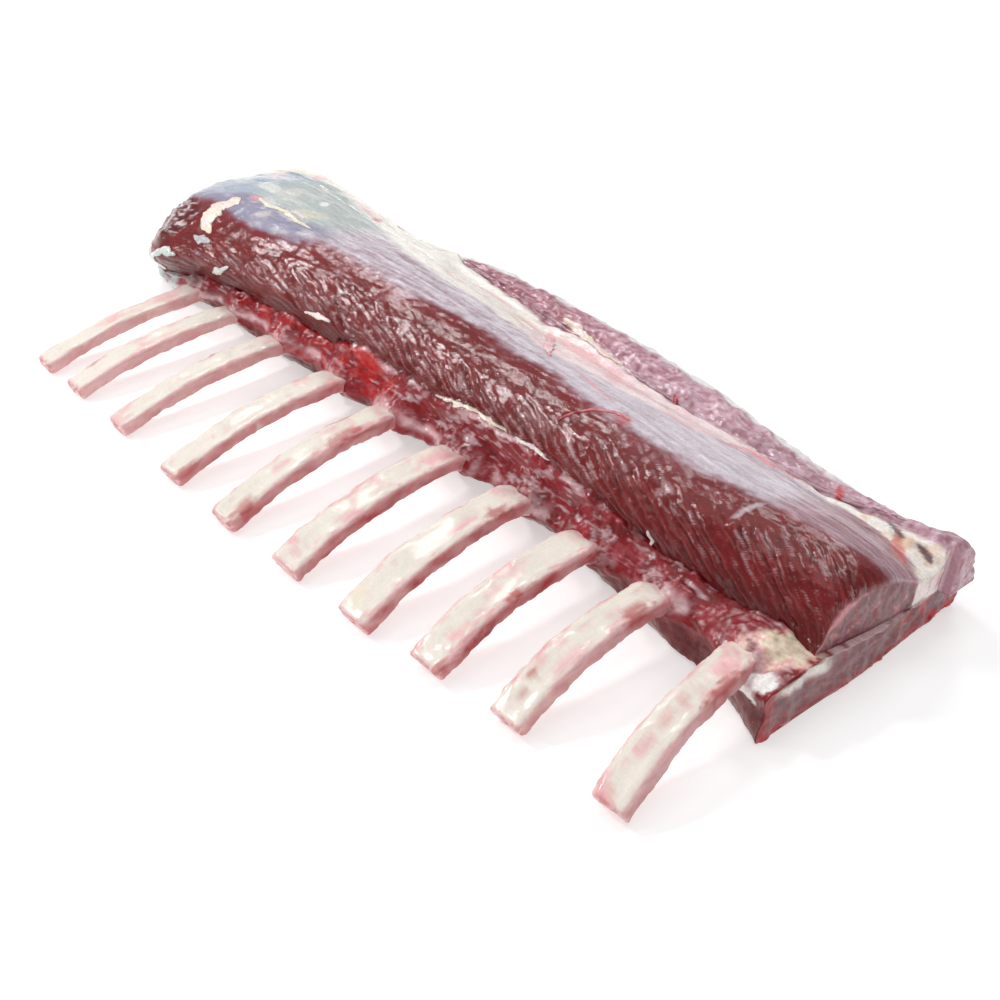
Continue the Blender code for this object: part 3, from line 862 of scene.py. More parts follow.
def far_layer(skin, out):
    """The smaller muscle beyond the fat with a painted white highlight band, and the cream band at
    its near end.
    """
    x, t, mottle = skin.x, skin.t, skin.mottle
    muscle = mix(plain(FAR_RED, x), FAR_MAUVE,
                 0.25 + 0.5 * skin.fleck + 0.35 * smooth(-230, -120, x))
    muscle = mix(muscle, DEEP, 0.35 * smooth(0.1, 0.7, mottle))
    # painted highlight: a white band along the far muscle, standing in for its wet gloss
    painted_highlight_band = bump_mask(t + 2 * mottle, 114.5, 127, 1.8) * (1 - smooth(-62, -40, x))
    muscle = mix(muscle, WHITE, painted_highlight_band * (0.82 + 0.2 * skin.streak))
    muscle = mix(muscle, FAR_MAUVE, 0.6 * smooth(129, 136, t))
    muscle = mix(muscle, CREAM, blot(x, t, (-25, 136), (9, 7), 20, 0.5, 13))
    cream_to = read_line(CREAM_TO, x)
    out = mix(out, muscle, smooth(cream_to - 0.7, cream_to + 0.9, skin.w - skin.wobble * 0.4))
    band = bump_mask(t, read_line(NEAR_BAND_FROM, x), read_line(NEAR_BAND_TO, x), 1.5)
    band_fat = mix(plain(CREAM, x), ORANGE_CREAM, smooth(-0.1, 0.7, mottle))
    return mix(out, band_fat, smooth(-62, -40, x) * band)


def strip_layer(skin, out):
    """The plate's dark meat where it laps over the foot of the loin, with painted sheen streaks
    and a pale rim.
    """
    x, t = skin.x, skin.t
    strip = strip_edge(x)
    meat = mix(plain(PLATE_RED, x), PLATE_DARK, 0.3 + 0.6 * skin.mottle)
    # painted sheen: pale glint streaks over the strip's meat
    meat = mix(meat, PAINTED_GLINT, 0.5 * smooth(0.2, 0.7, fbm(x / 5, t / 1.2, 0.9, 14, 3)))
    meat = mix(meat, BRIGHT_RED, bump_mask(x, -262, -226, 6) * 0.8)
    out = mix(out, meat, (1 - smooth(strip - 0.3, strip + 0.3, t)) * smooth(-2, 0, strip))
    rim = np.exp(-((t - strip + 0.4) / 0.6) ** 2) * smooth(0, 4, strip)
    return mix(out, PINK_CREAM, 0.6 * rim * smooth(0.0, 0.5, fbm(x / 9, 0.0, 0.3, 15, 2)))


def spot_layer(skin, out):
    """Spots and patches, the dark wet patch at the far end with painted highlights speckled on it,
    and the slits in the near fat.
    """
    x, t = skin.x, skin.t
    for number, (at, size, lean, colour, strength) in enumerate(SKIN_BLOTS):
        out = mix(out, colour, strength * blot(x, t, at, size, lean, 0.35, 100 + number))
    wet = wet_end(x, t)
    out = mix(out, DEEP, 0.8 * wet)
    # painted highlights: pale wet glints speckled over the far-end patch
    out = mix(out, PAINTED_GLINT, 0.9 * wet * smooth(0.1, 0.5, fbm(x / 1.6, t / 1.6, 0.3, 16, 2)))
    slits = np.maximum(blot(x, t, (-17, 103), (6.0, 1.2), -24, 0.4, 17),
                       blot(x, t, (-3, 99), (6.0, 1.8), -35, 0.4, 18))
    return mix(out, SLIT_BROWN, 0.85 * slits)


def skin_colours(x, t):
    """Colour and gloss of the skin at places (X, T)."""
    skin = Skin(x, t)
    out, cream = fat_layer(skin, silver_layer(skin, muscle_layer(skin)))
    out = spot_layer(skin, strip_layer(skin, far_layer(skin, out)))
    return out, np.clip(0.62 + 0.25 * skin.mottle - 0.2 * cream, 0.0, 1.0)


def paint_skin(grid, cap):
    """Colours, gloss and grain of a skin piece; cap(x, y, z) paints its near cut."""
    x, y, z = grid.points.T
    t = grid.tags["v"] * GIRTH
    out, gloss = skin_colours(x, t)
    zone = grid.tags["zone"]
    near = zone == NEAR_CUT
    out[near] = cap(x[near], y[near], z[near])
    across, lengthwise = fibre_places(x, t)
    silver = smooth(0, 8, t - read_line(SILVER_FROM, x))[:, None]
    grain = np.column_stack([across, lengthwise, z * 0]) * (1 - silver)
    grain = grain + np.column_stack([t * 1.0, x * 0.7, z * 0]) * silver
    grain[near] = np.column_stack([y[near] * 0.6, z[near] * 0.6, x[near]])
    return out, gloss, grain


def cap_paint(base, second, rim, rim_colour):
    """Painter for a cut face: two tones in grains, and a rim under its upper edge."""
    def paint(x, y, z):
        out = mix(plain(base, x), second,
                  0.5 + 0.8 * fbm(y / 2.4, z / 2.4, 0.4, 71, 3))
        vein = smooth(0.45, 0.75, fbm(y / 4.5, z / 3.5, 0.1, 72, 3))
        out = mix(out, PINK, 0.4 * vein)
        return mix(out, rim_colour, rim(y, z) * 0.85)
    return paint


def plate_front(x, up, mottle, streak, fleck):
    """Lip and strip in front of the groove, with painted sheen streaks, painted shade low on the
    lip, and pale collars where the ribs go in.
    """
    out = mix(plain(PLATE_RED, x), PLATE_DARK, 0.35 + 0.6 * mottle)
    # painted sheen: pale streaks over the upper lip and strip
    out = mix(out, PAINTED_GLINT, 0.5 * smooth(0.15, 0.7, streak) * smooth(0.55, 0.8, up))
    # painted shade: darker low on the lip, under its overhang towards the floor
    out = mix(out, PLATE_DARK, (1 - smooth(0.25, 0.55, up)) * 0.9)
    red_zone = bump_mask(x, -322, -212, 12) * bump_mask(up, 0.45, 1.2, 0.1)
    out = mix(out, BRIGHT_RED, 0.6 * red_zone * smooth(-0.3, 0.5, mottle))
    edge = np.exp(-((up - 0.62 + 0.06 * mottle) / 0.07) ** 2)
    fringe = smooth(-0.35, 0.35, fbm(x / 7, 0.2, 0.3, 84, 2))
    out = mix(out, PINK_CREAM, 0.6 * edge * fringe * (1 - smooth(-40, -20, x) * 0.5))
    for rib in RIBS:
        near_rib = np.exp(-((x - rib[1]) / (rib[3] * 0.62)) ** 2)
        collar = near_rib * bump_mask(up, 0.5, 0.76, 0.07)
        out = mix(out, PINK_CREAM, 0.6 * collar * smooth(-0.2, 0.5, fleck + mottle))
        out = mix(out, BLOOD, 0.4 * collar * smooth(0.1, 0.6, -mottle))
    far_scraps = (1 - smooth(-372, -345, x)) * smooth(-0.2, 0.3, mottle) * smooth(0.3, 0.5, up)
    return mix(out, GREEN_GREY, 0.8 * far_scraps * (up < 1.1))


def plate_under(x, y):
    """Underside: pink membrane with the ribs showing through and patches of meat."""
    out = mix(plain(MEMBRANE_RED, x), MEMBRANE_PALE, 0.5 + 0.7 * fbm(x / 16, y / 9, 0.4, 85, 3))
    for rib in RIBS:
        band = np.exp(-((x - rib[1]) / (rib[3] * 0.5)) ** 4) * (1 - smooth(118, 150, y))
        out = mix(out, BONE_PINK, 0.75 * band)
    return mix(out, PLATE_RED, 0.6 * smooth(0.1, 0.6, fbm(x / 7, y / 7, 0.8, 86, 3)))


def near_shelf(x, y, z, up, on_top, mottle, out):
    """Fat and cartilage on the plate's top at the near end; on_top marks its open side."""
    high = (z > 12) * on_top
    fat = mix(plain(YELLOW_CREAM, x), PINK, 0.5 + mottle)
    out = mix(out, fat, 0.85 * blot(x, y, (-5, 83), (14, 8), 40, 0.5, 87) * high)
    behind_groove = on_top * smooth(1.0, 1.02, up) * (up < PLATE_BACK_FROM / PLATE_FRONT)
    out = mix(out, PINK_CREAM, 0.8 * behind_groove * smooth(-3, 2, x) * smooth(-0.6, 0.2, mottle))
    return mix(out, WHITE, 0.9 * blot(x, y, (-2, 67), (8, 4.5), 30, 0.5, 88) * high)


def plate_cut(x, y, z, mottle, streak):
    """The near cut: brown and grey grain, blood at its foot and ends, a muscle seen end on."""
    out = mix(plain(CUT_GREY, x), CUT_BROWN, 0.5 + 0.9 * streak)
    out = mix(out, BLOOD, 0.8 * (1 - smooth(1.2, 3.4, z + 1.2 * mottle)))
    out = mix(out, BLOOD, 0.7 * (1 - smooth(66, 78, y)) * smooth(-0.4, 0.3, mottle + 0.3))
    out = mix(out, BRIGHT_RED, 0.65 * smooth(132, 142, y) * smooth(-0.3, 0.3, mottle))
    out = mix(out, CUT_GREY, 1 - smooth(0.7, 1.0, np.hypot((y - 158) / 9, (z - 7.5) / 3.4)))
    return mix(out, CREAM, 0.8 * bump_mask(y, 70, 96, 4) * smooth(13, 17, z))


def plate_colours(grid):
    """Colours, gloss and grain of the plate."""
    x, y, z = grid.points.T
    share, zone = grid.tags["v"], grid.tags["zone"]
    up = share / PLATE_FRONT           # 0 on the floor line, 1 in the groove
    mottle = fbm(x / 5, y / 5, z / 5, 81, 3)
    streak = fbm(x / 9, y / 1.5, z / 1.5, 82, 3)
    fleck = fbm(x / 1.7, y / 1.7, z / 1.7, 83, 2)
    out = plate_front(x, up, mottle, streak, fleck)
    under, near, far = zone == UNDER, zone == NEAR_CUT, zone == FAR_CUT
    back = (zone == OPEN) & (share > PLATE_BACK_FROM)
    out[under] = plate_under(x[under], y[under])
    out[back] = mix(plain(FAR_RED, x[back]), FAR_MAUVE, 0.5 + 0.7 * mottle[back])
    out = near_shelf(x, y, z, up, zone == OPEN, mottle, out)
    out[near] = plate_cut(x[near], y[near], z[near], mottle[near], streak[near])
    out[far] = mix(plain(PLATE_DARK, x[far]), PLATE_RED, 0.5 + mottle[far])
    grain = np.column_stack([y + z, x * 0.6, z])
    grain[near] = np.column_stack([y * 0.7, z * 0.9, x])[near]
    return out, np.clip(0.6 + 0.3 * mottle, 0, 1), grain


# rib, Y along it, place across (-1 at -X edge, 1 at +X edge), half sizes, colour, strength
RIB_BLOTS = (
    (1, 30, -0.1, 6, 3, PINK, 0.5), (1, 58, 0.2, 7, 2.4, PINK, 0.4),
    (2, 10, -0.9, 6, 2.0, BLOOD, 0.6), (2, 42, 0.5, 8, 2.0, PINK, 0.4),
    (3, 44, -0.9, 6, 1.6, BLOOD, 0.6), (3, 26, -0.1, 3, 1.4, PINK, 0.5),
    (4, -4, 0.9, 8, 2.6, BLOOD, 0.75), (4, 15, 0.1, 1.4, 1.0, PINK, 0.6),
    (5, 0, 0.7, 7, 3.0, BLOOD, 0.75), (5, 50, 0.6, 12, 2.6, BLOOD, 0.8),
    (5, 22, 0.0, 5, 1.4, PINK, 0.7), (5, 56, -0.8, 5, 2.0, BLOOD, 0.5),
    (6, 2, -0.6, 3, 2.2, PINK, 0.7), (6, 0, 0.1, 2, 3.4, PINK, 0.6),
    (6, 66, 0.2, 7, 4.2, PINK, 0.8), (6, 72, 0.4, 4, 3.0, BLOOD, 0.4),
    (7, 2, -0.4, 4, 3.2, YELLOW_CREAM, 0.8), (7, 62, 0.7, 7, 3.0, BLOOD, 0.9),
    (7, 47, 0.4, 9, 1.0, PINK, 0.7), (8, 36, 0.8, 4, 2.0, BLOOD, 0.95),
    (8, 0, 0.8, 4, 2.6, BLOOD, 0.8), (8, 14, 0.4, 4, 2.2, PINK, 0.6),
    (9, 18, -0.3, 2.6, 2.0, BLOOD, 0.8), (9, 12, -0.1, 2.4, 1.4, BLOOD, 0.6),
    (9, 58, 0.7, 8, 5.0, BLOOD, 0.9), (9, 30, 0.6, 8, 2.4, PINK, 0.6),
    (10, 2, -0.5, 5, 5.0, PINK, 0.8), (10, 0, 0.3, 3, 6.0, BLOOD, 0.6),
    (10, 30, -0.2, 22, 1.4, PINK, 0.8), (10, 62, 0.2, 8, 5.0, PINK, 0.9),
    (10, 56, 0.9, 12, 3.0, BLOOD, 0.9), (10, 40, 0.1, 14, 1.2, BLOOD, 0.4),
)
# strength, for each rib, of the red band low on its +X side: blood stain, and painted shade on the
# side turned from the lamps
RIB_SIDE_STAIN_AND_SHADE = (0.35, 0.35, 0.5, 0.75, 0.8, 0.95, 1.0, 1.0, 0.55, 0.6)


def rib_places(rib, grid):
    """Y along the rib, place across it, and height over its middle, for each point."""
    tip_x, entry_x, tip_width, inner_width, _, tip_y, _ = rib
    x = grid.points[:, 0]
    run = grid.tags["run"]
    t = np.clip((run - tip_y) / (RIB_ENTRY_Y - tip_y), 0.0, 1.0)
    half = (tip_width + (inner_width - tip_width) * t) / 2
    across = (x - tip_x - (entry_x - tip_x) * t) / half
    return run, across, np.sin(grid.tags["v"])


def rib_colours(number, rib, grid):
    """Colours, gloss and grain of one rib."""
    x, y, z = grid.points.T
    run, across, up = rib_places(rib, grid)
    mottle = fbm(x / 6, y / 10, z / 6, 90 + number, 3)
    streak = fbm(x / 1.6, y / 12, z / 1.6, 120 + number, 3)
    fleck = fbm(x / 1.5, y / 2.2, z / 1.5, 150 + number, 2)
    out = mix(plain(IVORY, x), GREEN_IVORY, 0.4 + 0.6 * mottle)
    out = mix(out, BONE_PINK, smooth(0.05, 0.75, mottle + 0.5 * streak) * 0.7)
    edge = smooth(0.62, 1.0, np.abs(across) + 0.25 * mottle)
    out = mix(out, PINK, 0.6 * edge * smooth(-0.3, 0.4, streak + fleck))
    # red band low on the +X side: blood stain, and painted shade on the side turned from the lamps
    side = smooth(0.80, 0.95, across) * (1 - smooth(0.45, 0.95, up))
    stain_and_shade_red = mix(plain(BONE_RED, x), BLOOD, 0.4 + 0.7 * fleck)
    out = mix(out, BONE_PINK, 0.75 * smooth(0.78, 0.95, across))
    out = mix(out, stain_and_shade_red, side * RIB_SIDE_STAIN_AND_SHADE[number - 1] * (0.75 + 0.4 * mottle)
              * (1 - smooth(-0.05, 0.75, up + 0.3 * streak)))
    left = smooth(0.80, 0.97, -across)
    out = mix(out, BONE_PINK, 0.8 * left)
    out = mix(out, PINK, 0.5 * left * smooth(0.0, 0.6, fleck))
    below = smooth(0.3, 0.9, -up) * (1 - side)
    out = mix(out, BONE_PINK, 0.6 * below)
    half = rib[3] / 2
    for order, (which, at, place, long, wide, colour, strength) in enumerate(RIB_BLOTS):
        if which != number:
            continue
        r = np.sqrt(((run - at) / long) ** 2 + ((across - place) * half / wide) ** 2)
        r = r + 0.45 * fbm(x / 2.0, y / 2.6, z / 2.0, 200 + order, 3)
        top = smooth(-0.3, 0.3, up)
        out = mix(out, colour, strength * 0.75 * (1 - smooth(0.45, 1.25, r)) * top)
    tip = 1 - smooth(0.0, 2.2, run - rib[5] + 0.8 * fleck)
    out = mix(out, BONE_PINK, 0.8 * tip)
    out = mix(out, BLOOD, 0.6 * tip * smooth(0.0, 0.5, fleck + 0.3))
    root = smooth(64, 74, run + 4 * mottle)
    out = mix(out, PINK, 0.5 * root * smooth(-0.2, 0.5, fleck))
    gloss = np.clip(0.5 + 0.25 * mottle, 0, 1)
    grain = np.column_stack([grid.tags["v"] * 6.0, run * 0.5, z * 0])
    return out, gloss, grain


def rib_relief(number, rib, grid):
    """Uneven edges, shallow grooves along the bone and small tissue scraps."""
    x, y, z = grid.points.T
    run, across, up = rib_places(rib, grid)
    out = 0.55 * fbm(x / 14, y / 16, z / 14, 300 + number, 2)
    out = out + 0.28 * fbm(x / 4, y / 7, z / 4, 320 + number, 3)
    edge = smooth(0.6, 1.0, np.abs(across))
    out = out + 0.5 * edge * fbm(x / 3, y / 3.5, z / 3, 340 + number, 3)
    out = out - 0.35 * np.exp(-((across - 0.2) / 0.3) ** 2) * smooth(0, 1, up)
    return out


# ---- Loose scraps of membrane and fat that lie on the skin ----
def skin_places(x, t):
    """Points and outward normals of the skin, with its relief, at arrays X and T."""
    xs = np.arange(FAR_END, LOBE_END + 2.0, 2.0)
    shares = np.linspace(0.0, 1.0, 240)
    rows = []
    for station in xs:
        line = round_far(station, skin_line(station))
        rows.append(np.column_stack([np.interp(shares, line[:, 2], line[:, k]) for k in (0, 1)]))
    rows = np.array(rows)

    def at(px, pt):
        i = np.clip((px - xs[0]) / 2.0, 0, len(xs) - 1.001)
        j = np.clip(pt / GIRTH * 239, 0, 238.999)
        a, b = i.astype(int), j.astype(int)
        u, w = (i - a)[..., None], (j - b)[..., None]
        yz = ((rows[a, b] * (1 - u) + rows[a + 1, b] * u) * (1 - w)
              + (rows[a, b + 1] * (1 - u) + rows[a + 1, b + 1] * u) * w)
        return np.concatenate([np.asarray(px)[..., None], yz], axis=-1)

    here = at(x, t)
    normal = np.cross(at(x + 1.0, t) - at(x - 1.0, t), at(x, t + 1.0) - at(x, t - 1.0))
    normal /= np.linalg.norm(normal, axis=-1, keepdims=True)
    return here + normal * skin_relief(x.ravel(), t.ravel()).reshape(x.shape)[..., None], normal


def scrap(name, route, widths, lift, slot, colours, material, seed):
    """Thin closed flake along a route of (X, T) points; lift is its height at start and end."""
    count, across = 46, 11
    knots = np.array(route, float)
    runs = np.concatenate([[0.0], np.cumsum(np.hypot(*np.diff(knots, axis=0).T))])
    at = np.linspace(0.0, runs[-1], count)
    line = np.column_stack([np.interp(at, runs, knots[:, k]) for k in (0, 1)])
    way = np.gradient(line, axis=0)
    way /= np.linalg.norm(way, axis=1, keepdims=True)
    side = np.column_stack([-way[:, 1], way[:, 0]])
    share = np.linspace(0.0, 1.0, count)
    wide = np.interp(share, np.linspace(0, 1, len(widths)), widths) / 2
    taper = np.sqrt(np.clip(1 - (2 * share - 1) ** 8, 0.0, 1.0))
    c = np.linspace(-1.0, 1.0, across)
    ragged = 1 + 0.75 * fbm(at[:, None] / 2.6, c[None] * 0.7, 0.3, seed, 3)
    spread = wide[:, None] * c[None] * taper[:, None] * ragged
    x = line[:, 0, None] + side[:, 0, None] * spread
    t = line[:, 1, None] + side[:, 1, None] * spread
    base, normal = skin_places(x, t)
    thick = np.sqrt(np.clip(1 - c[None] ** 2, 0.0, 1.0)) * taper[:, None]
    rise = lift[0] + (lift[1] - lift[0]) * share[:, None]
    crumple = 0.35 * fbm(at[:, None] / 3.0, c[None] * 1.3, 0.8, seed + 1, 3)
    top = base + normal * (0.1 + (0.5 * rise + crumple) * thick + 0.3 * thick)[..., None]
    bottom = base + normal * (0.1 + (0.5 * rise + crumple) * thick - 0.5 * thick)[..., None]
    bottom = np.where(thick[..., None] > 0, bottom, top)
    grid = Grid(name)
    tags = np.broadcast_to(c[None], (count, across))
    grid.add_block(top, v=tags)
    grid.add_block(bottom[:, ::-1], v=tags[:, ::-1])
    grid.finish()
    grid.face_out()
    px, py, pz = grid.points.T
    mottle = fbm(px / 2.2, py / 2.2, pz / 2.2, seed + 2, 3)
    paint = mix(plain(colours[0], px), colours[1], 0.5 + 0.8 * mottle)
    grain = np.column_stack([py, px * 0.5, pz])
    make_object(grid, material, None, slot, paint, np.full(len(px), 0.6), grain)


# name, route of (X, T), widths, lift at both ends, slot, two colours
SCRAPS = (
    ("flap_beige", ((-203, 106), (-190, 104), (-178, 101.5), (-166, 100), (-162, 101)),
     (2.0, 4.5, 3.5, 4.5, 2.5), (0.4, 1.6), "fat", (PINK_CREAM, YELLOW_CREAM)),
    ("tongue_pink", ((-196, 94), (-188, 82), (-180, 71), (-172, 61), (-168, 59)),
     (1.5, 2.6, 3.6, 4.6, 2.0), (0.2, 1.0), "fat", (PINK, PINK_CREAM)),
    ("scrap_far_a", ((-385, 7), (-378, 12), (-370, 16), (-362, 15)),
     (2.0, 4.0, 3.0, 4.5, 1.5), (0.5, 0.8), "fat", (GREEN_GREY, CREAM)),
    ("scrap_far_b", ((-384, 16), (-380, 8), (-374, 3)),
     (1.5, 3.0, 2.0), (0.5, 0.9), "fat", (GREEN_GREY, PINK_CREAM)),
    ("scrap_far_c", ((-341, 10), (-335, 13), (-329, 17)),
     (1.5, 4.0, 2.0), (0.3, 0.8), "fat", (GREEN_GREY, CREAM)),
    ("scrap_far_d", ((-279, 12), (-270, 13.5), (-262, 14)),
     (1.2, 2.8, 1.5), (0.3, 0.6), "fat", (CREAM, PINK_CREAM)),
    ("scrap_far_e", ((-352, 52), (-355, 45), (-356, 38), (-354, 32), (-348, 29)),
     (5.0, 10.0, 9.0, 5.0, 2.0), (0.1, 0.3), "fat", (YELLOW_CREAM, PINK_CREAM)),
    ("scrap_far_f", ((-357, 26), (-351, 25), (-345, 25)),
     (1.2, 4.0, 2.0), (0.3, 0.5), "fat", (GREEN_GREY, SILVER)),
    ("vein_far", ((-347, 57), (-338, 55), (-328, 56), (-318, 53), (-306, 52)),
     (1.2, 2.6, 3.6, 2.6, 0.9), (0.1, 0.3), "fat", (CREAM, YELLOW_CREAM)),
    ("strand_groove", ((-76, 10), (-74, 5), (-75, 0.5)),
     (0.8, 1.4, 1.0), (0.6, 1.2), "fat", (CREAM, PINK_CREAM)),
    ("strip_edge_a", ((-196, 8.5), (-186, 11), (-176, 13.5), (-164, 13.8), (-152, 13.6)),
     (0.8, 1.6, 1.2, 2.2, 0.9), (0.4, 0.9), "plate_meat", (PINK_CREAM, YELLOW_CREAM)),
    ("strip_edge_b", ((-148, 13.8), (-138, 14.2), (-128, 13.2)),
     (0.8, 1.6, 0.8), (0.4, 0.7), "plate_meat", (PINK_CREAM, CREAM)),
    ("vein_middle", ((-112, 48), (-120, 47), (-127, 42), (-131, 35), (-134, 29)),
     (1.6, 1.4, 1.1, 1.0, 0.6), (0.1, 0.1), "fat", (PINK, BLOOD)),
    ("nick_red", ((-132, 101), (-128, 98), (-126, 95)),
     (1.2, 2.0, 1.0), (0.5, 0.9), "fat", (BLOOD, PINK)),
)


def build_scraps(material):
    for number, (name, route, widths, lift, slot, colours) in enumerate(SCRAPS):
        scrap(name, route, widths, lift, slot, colours, material, 400 + 7 * number)


# ---- Materials ----
SPECULAR_LEVEL = 0.12
COAT_ROUGHNESS = 0.09
COAT_BUMP = 0.6                        # the coat's relief, as a share of the tissue's
BUMP_DISTANCE = 0.0003
FLECK_SCALE = 850.0
DULL, GLOSSY = 0.62, 0.24              # roughness where the painted gloss is 0 and 1
UNEVEN = 0.25                          # how much the grain changes the roughness
SUBSURFACE_RADIUS = (0.004, 0.0014, 0.001)
SUBSURFACE_SCALE = 0.5


def add_node(material, kind, settings=(), sockets=(), links=()):
    """New shader node with its settings, socket values and incoming links."""
    node = material.node_tree.nodes.new(kind)
    for name, value in settings:
        setattr(node, name, value)
    for name, value in sockets:
        node.inputs[name].default_value = value
    for name, source in links:
        material.node_tree.links.new(source, node.inputs[name])
    return node


def painted(material, name):
    """Node that reads one of the painted layers."""
    return add_node(material, "ShaderNodeAttribute", (("attribute_name", name),))


def noise_node(material, source, scale, roughness):
    return add_node(material, "ShaderNodeTexNoise", (),
                    (("Scale", scale), ("Detail", 5.0), ("Roughness", roughness)),
                    (("Vector", source),)).outputs["Fac"]


def mapped(material, source, low, high, to_low, to_high):
    return add_node(material, "ShaderNodeMapRange", (),
                    (("From Min", low), ("From Max", high), ("To Min", to_low),
                     ("To Max", to_high)), (("Value", source),)).outputs["Result"]


def bump_node(material, height, strength):
    return add_node(material, "ShaderNodeBump", (),
                    (("Strength", strength), ("Distance", BUMP_DISTANCE)),
                    (("Height", height),)).outputs["Normal"]


def tissue_colour(material, both, fleck, glint_speck, contrast):
    """The painted colour, darker and lighter with the grain, and pale painted glint specks over
    it.
    """
    shade = mapped(material, both, 0.6, 1.4, 1 - contrast, 1 + contrast)
    tint = add_node(material, "ShaderNodeMix", (("data_type", "RGBA"), ("blend_type", "MULTIPLY")),
                    (("Factor", 1.0),),
                    (("A", painted(material, "paint").outputs["Color"]), ("B", shade)))
    # painted highlights: pale specks where the fine noise peaks
    glint_specks = mapped(material, fleck, 0.62, 0.74, 0.0, glint_speck)
    return add_node(material, "ShaderNodeMix", (("data_type", "RGBA"),),
                    (("B", (*GLINT_SPECK_PALE, 1.0)),),
                    (("Factor", glint_specks), ("A", tint.outputs["Result"]))).outputs["Result"]


def tissue_roughness(material, fibre):
    """Roughness from the painted gloss, uneven along the grain."""
    dull = mapped(material, painted(material, "gloss").outputs["Fac"], 0.0, 1.0, DULL, GLOSSY)
    uneven = add_node(material, "ShaderNodeMath", (("operation", "MULTIPLY_ADD"),),
                      ((1, UNEVEN),), ((0, fibre), (2, dull)))
    return add_node(material, "ShaderNodeMath", (("operation", "SUBTRACT"),),
                    ((1, UNEVEN / 2),), ((0, uneven.outputs["Value"]),)).outputs["Value"]


def tissue_material(name, coat, bump, grain_scale, glint_speck, subsurface, contrast):
    """Painted tissue with grain along the fibres, pale painted glint specks, uneven gloss and fine
    relief.
    """
    material = bpy.data.materials.new(name)
    material.use_nodes = True
    shader = material.node_tree.nodes["Principled BSDF"]
    stretch = add_node(material, "ShaderNodeVectorMath", (("operation", "MULTIPLY"),),
                       ((1, grain_scale),),
                       ((0, painted(material, "grain").outputs["Vector"]),))
    place = add_node(material, "ShaderNodeTexCoord")
    fibre = noise_node(material, stretch.outputs["Vector"], 1.0, 0.6)
    fleck = noise_node(material, place.outputs["Object"], FLECK_SCALE, 0.65)
    both = add_node(material, "ShaderNodeMath", (("operation", "ADD"),), (),
                    ((0, fibre), (1, fleck))).outputs["Value"]
    for socket, source in (
            ("Base Color", tissue_colour(material, both, fleck, glint_speck, contrast)),
            ("Roughness", tissue_roughness(material, fibre)),
            ("Normal", bump_node(material, both, bump)),
            ("Coat Normal", bump_node(material, both, bump * COAT_BUMP))):
        material.node_tree.links.new(source, shader.inputs[socket])
    for socket, value in (
            ("Specular IOR Level", SPECULAR_LEVEL), ("Coat Weight", coat),
            ("Coat Roughness", COAT_ROUGHNESS), ("Subsurface Weight", subsurface),
            ("Subsurface Radius", SUBSURFACE_RADIUS), ("Subsurface Scale", SUBSURFACE_SCALE)):
        shader.inputs[socket].default_value = value
    return material


# ---- Floor, light and camera ----
FLOOR_HALF = 4.0
FLOOR_DROP = 0.0003
FLOOR_GREY = 0.7
FLOOR_GLOW = 0.45
WORLD_STRENGTH = 0.3
# name, place in metres, size in metres, watts; all aimed at the middle of the rack
LIGHTS = (
    ("key", (-0.84, -0.50, 0.93), (0.20, 0.16), 6.0),
    ("low", (-0.80, -0.95, 0.45), (0.18, 0.18), 2.6),
    ("high", (-0.80, 0.30, 1.00), (0.30, 0.22), 3.4),
    ("top", (0.0, 0.0, 1.3), (1.1, 1.1), 3.2),
    ("back", (-0.15, 0.85, 0.95), (0.6, 0.3), 3.6),
    ("fill", (0.95, -0.75, 0.6), (0.9, 0.9), 4.0),
)


def build_stage():
    """Plain pale floor."""
    mesh = bpy.data.meshes.new("floor")
    mesh.from_pydata([(-FLOOR_HALF, -FLOOR_HALF, 0), (FLOOR_HALF, -FLOOR_HALF, 0),
                      (FLOOR_HALF, FLOOR_HALF, 0), (-FLOOR_HALF, FLOOR_HALF, 0)],
                     [], [(0, 1, 2, 3)])
    floor = bpy.data.objects.new("floor", mesh)
    bpy.context.scene.collection.objects.link(floor)
    floor.location.z = -FLOOR_DROP
    material = bpy.data.materials.new("floor_white")
    material.use_nodes = True
    shader = material.node_tree.nodes["Principled BSDF"]
    for socket, value in (("Base Color", (FLOOR_GREY, FLOOR_GREY, FLOOR_GREY, 1.0)),
                          ("Roughness", 0.95), ("Specular IOR Level", 0.0),
                          ("Emission Color", (1.0, 1.0, 1.0, 1.0)),
                          ("Emission Strength", FLOOR_GLOW)):
        shader.inputs[socket].default_value = value
    mesh.materials.append(material)


def build_light():
    """Dim white surroundings and six soft lamps."""
    scene = bpy.context.scene
    scene.world = scene.world or bpy.data.worlds.new("studio")
    scene.world.use_nodes = True
    background = scene.world.node_tree.nodes.get("Background")
    background.inputs["Color"].default_value = (1.0, 1.0, 1.0, 1.0)
    background.inputs["Strength"].default_value = WORLD_STRENGTH
    for name, place, size, power in LIGHTS:
        light = bpy.data.lights.new(name, "AREA")
        light.shape = "RECTANGLE"
        light.size, light.size_y = size
        light.energy = power
        lamp = bpy.data.objects.new(name, light)
        lamp.location = place
        lamp.rotation_euler = (-Vector(place)).to_track_quat("-Z", "Y").to_euler()
        scene.collection.objects.link(lamp)
    scene.view_settings.view_transform = "Standard"


CAMERA_PLACE = (0.4991, -0.4000, 0.4600)
CAMERA_AZIMUTH = 40.804
CAMERA_DROP = 37.0
CAMERA_LENS = 69.27


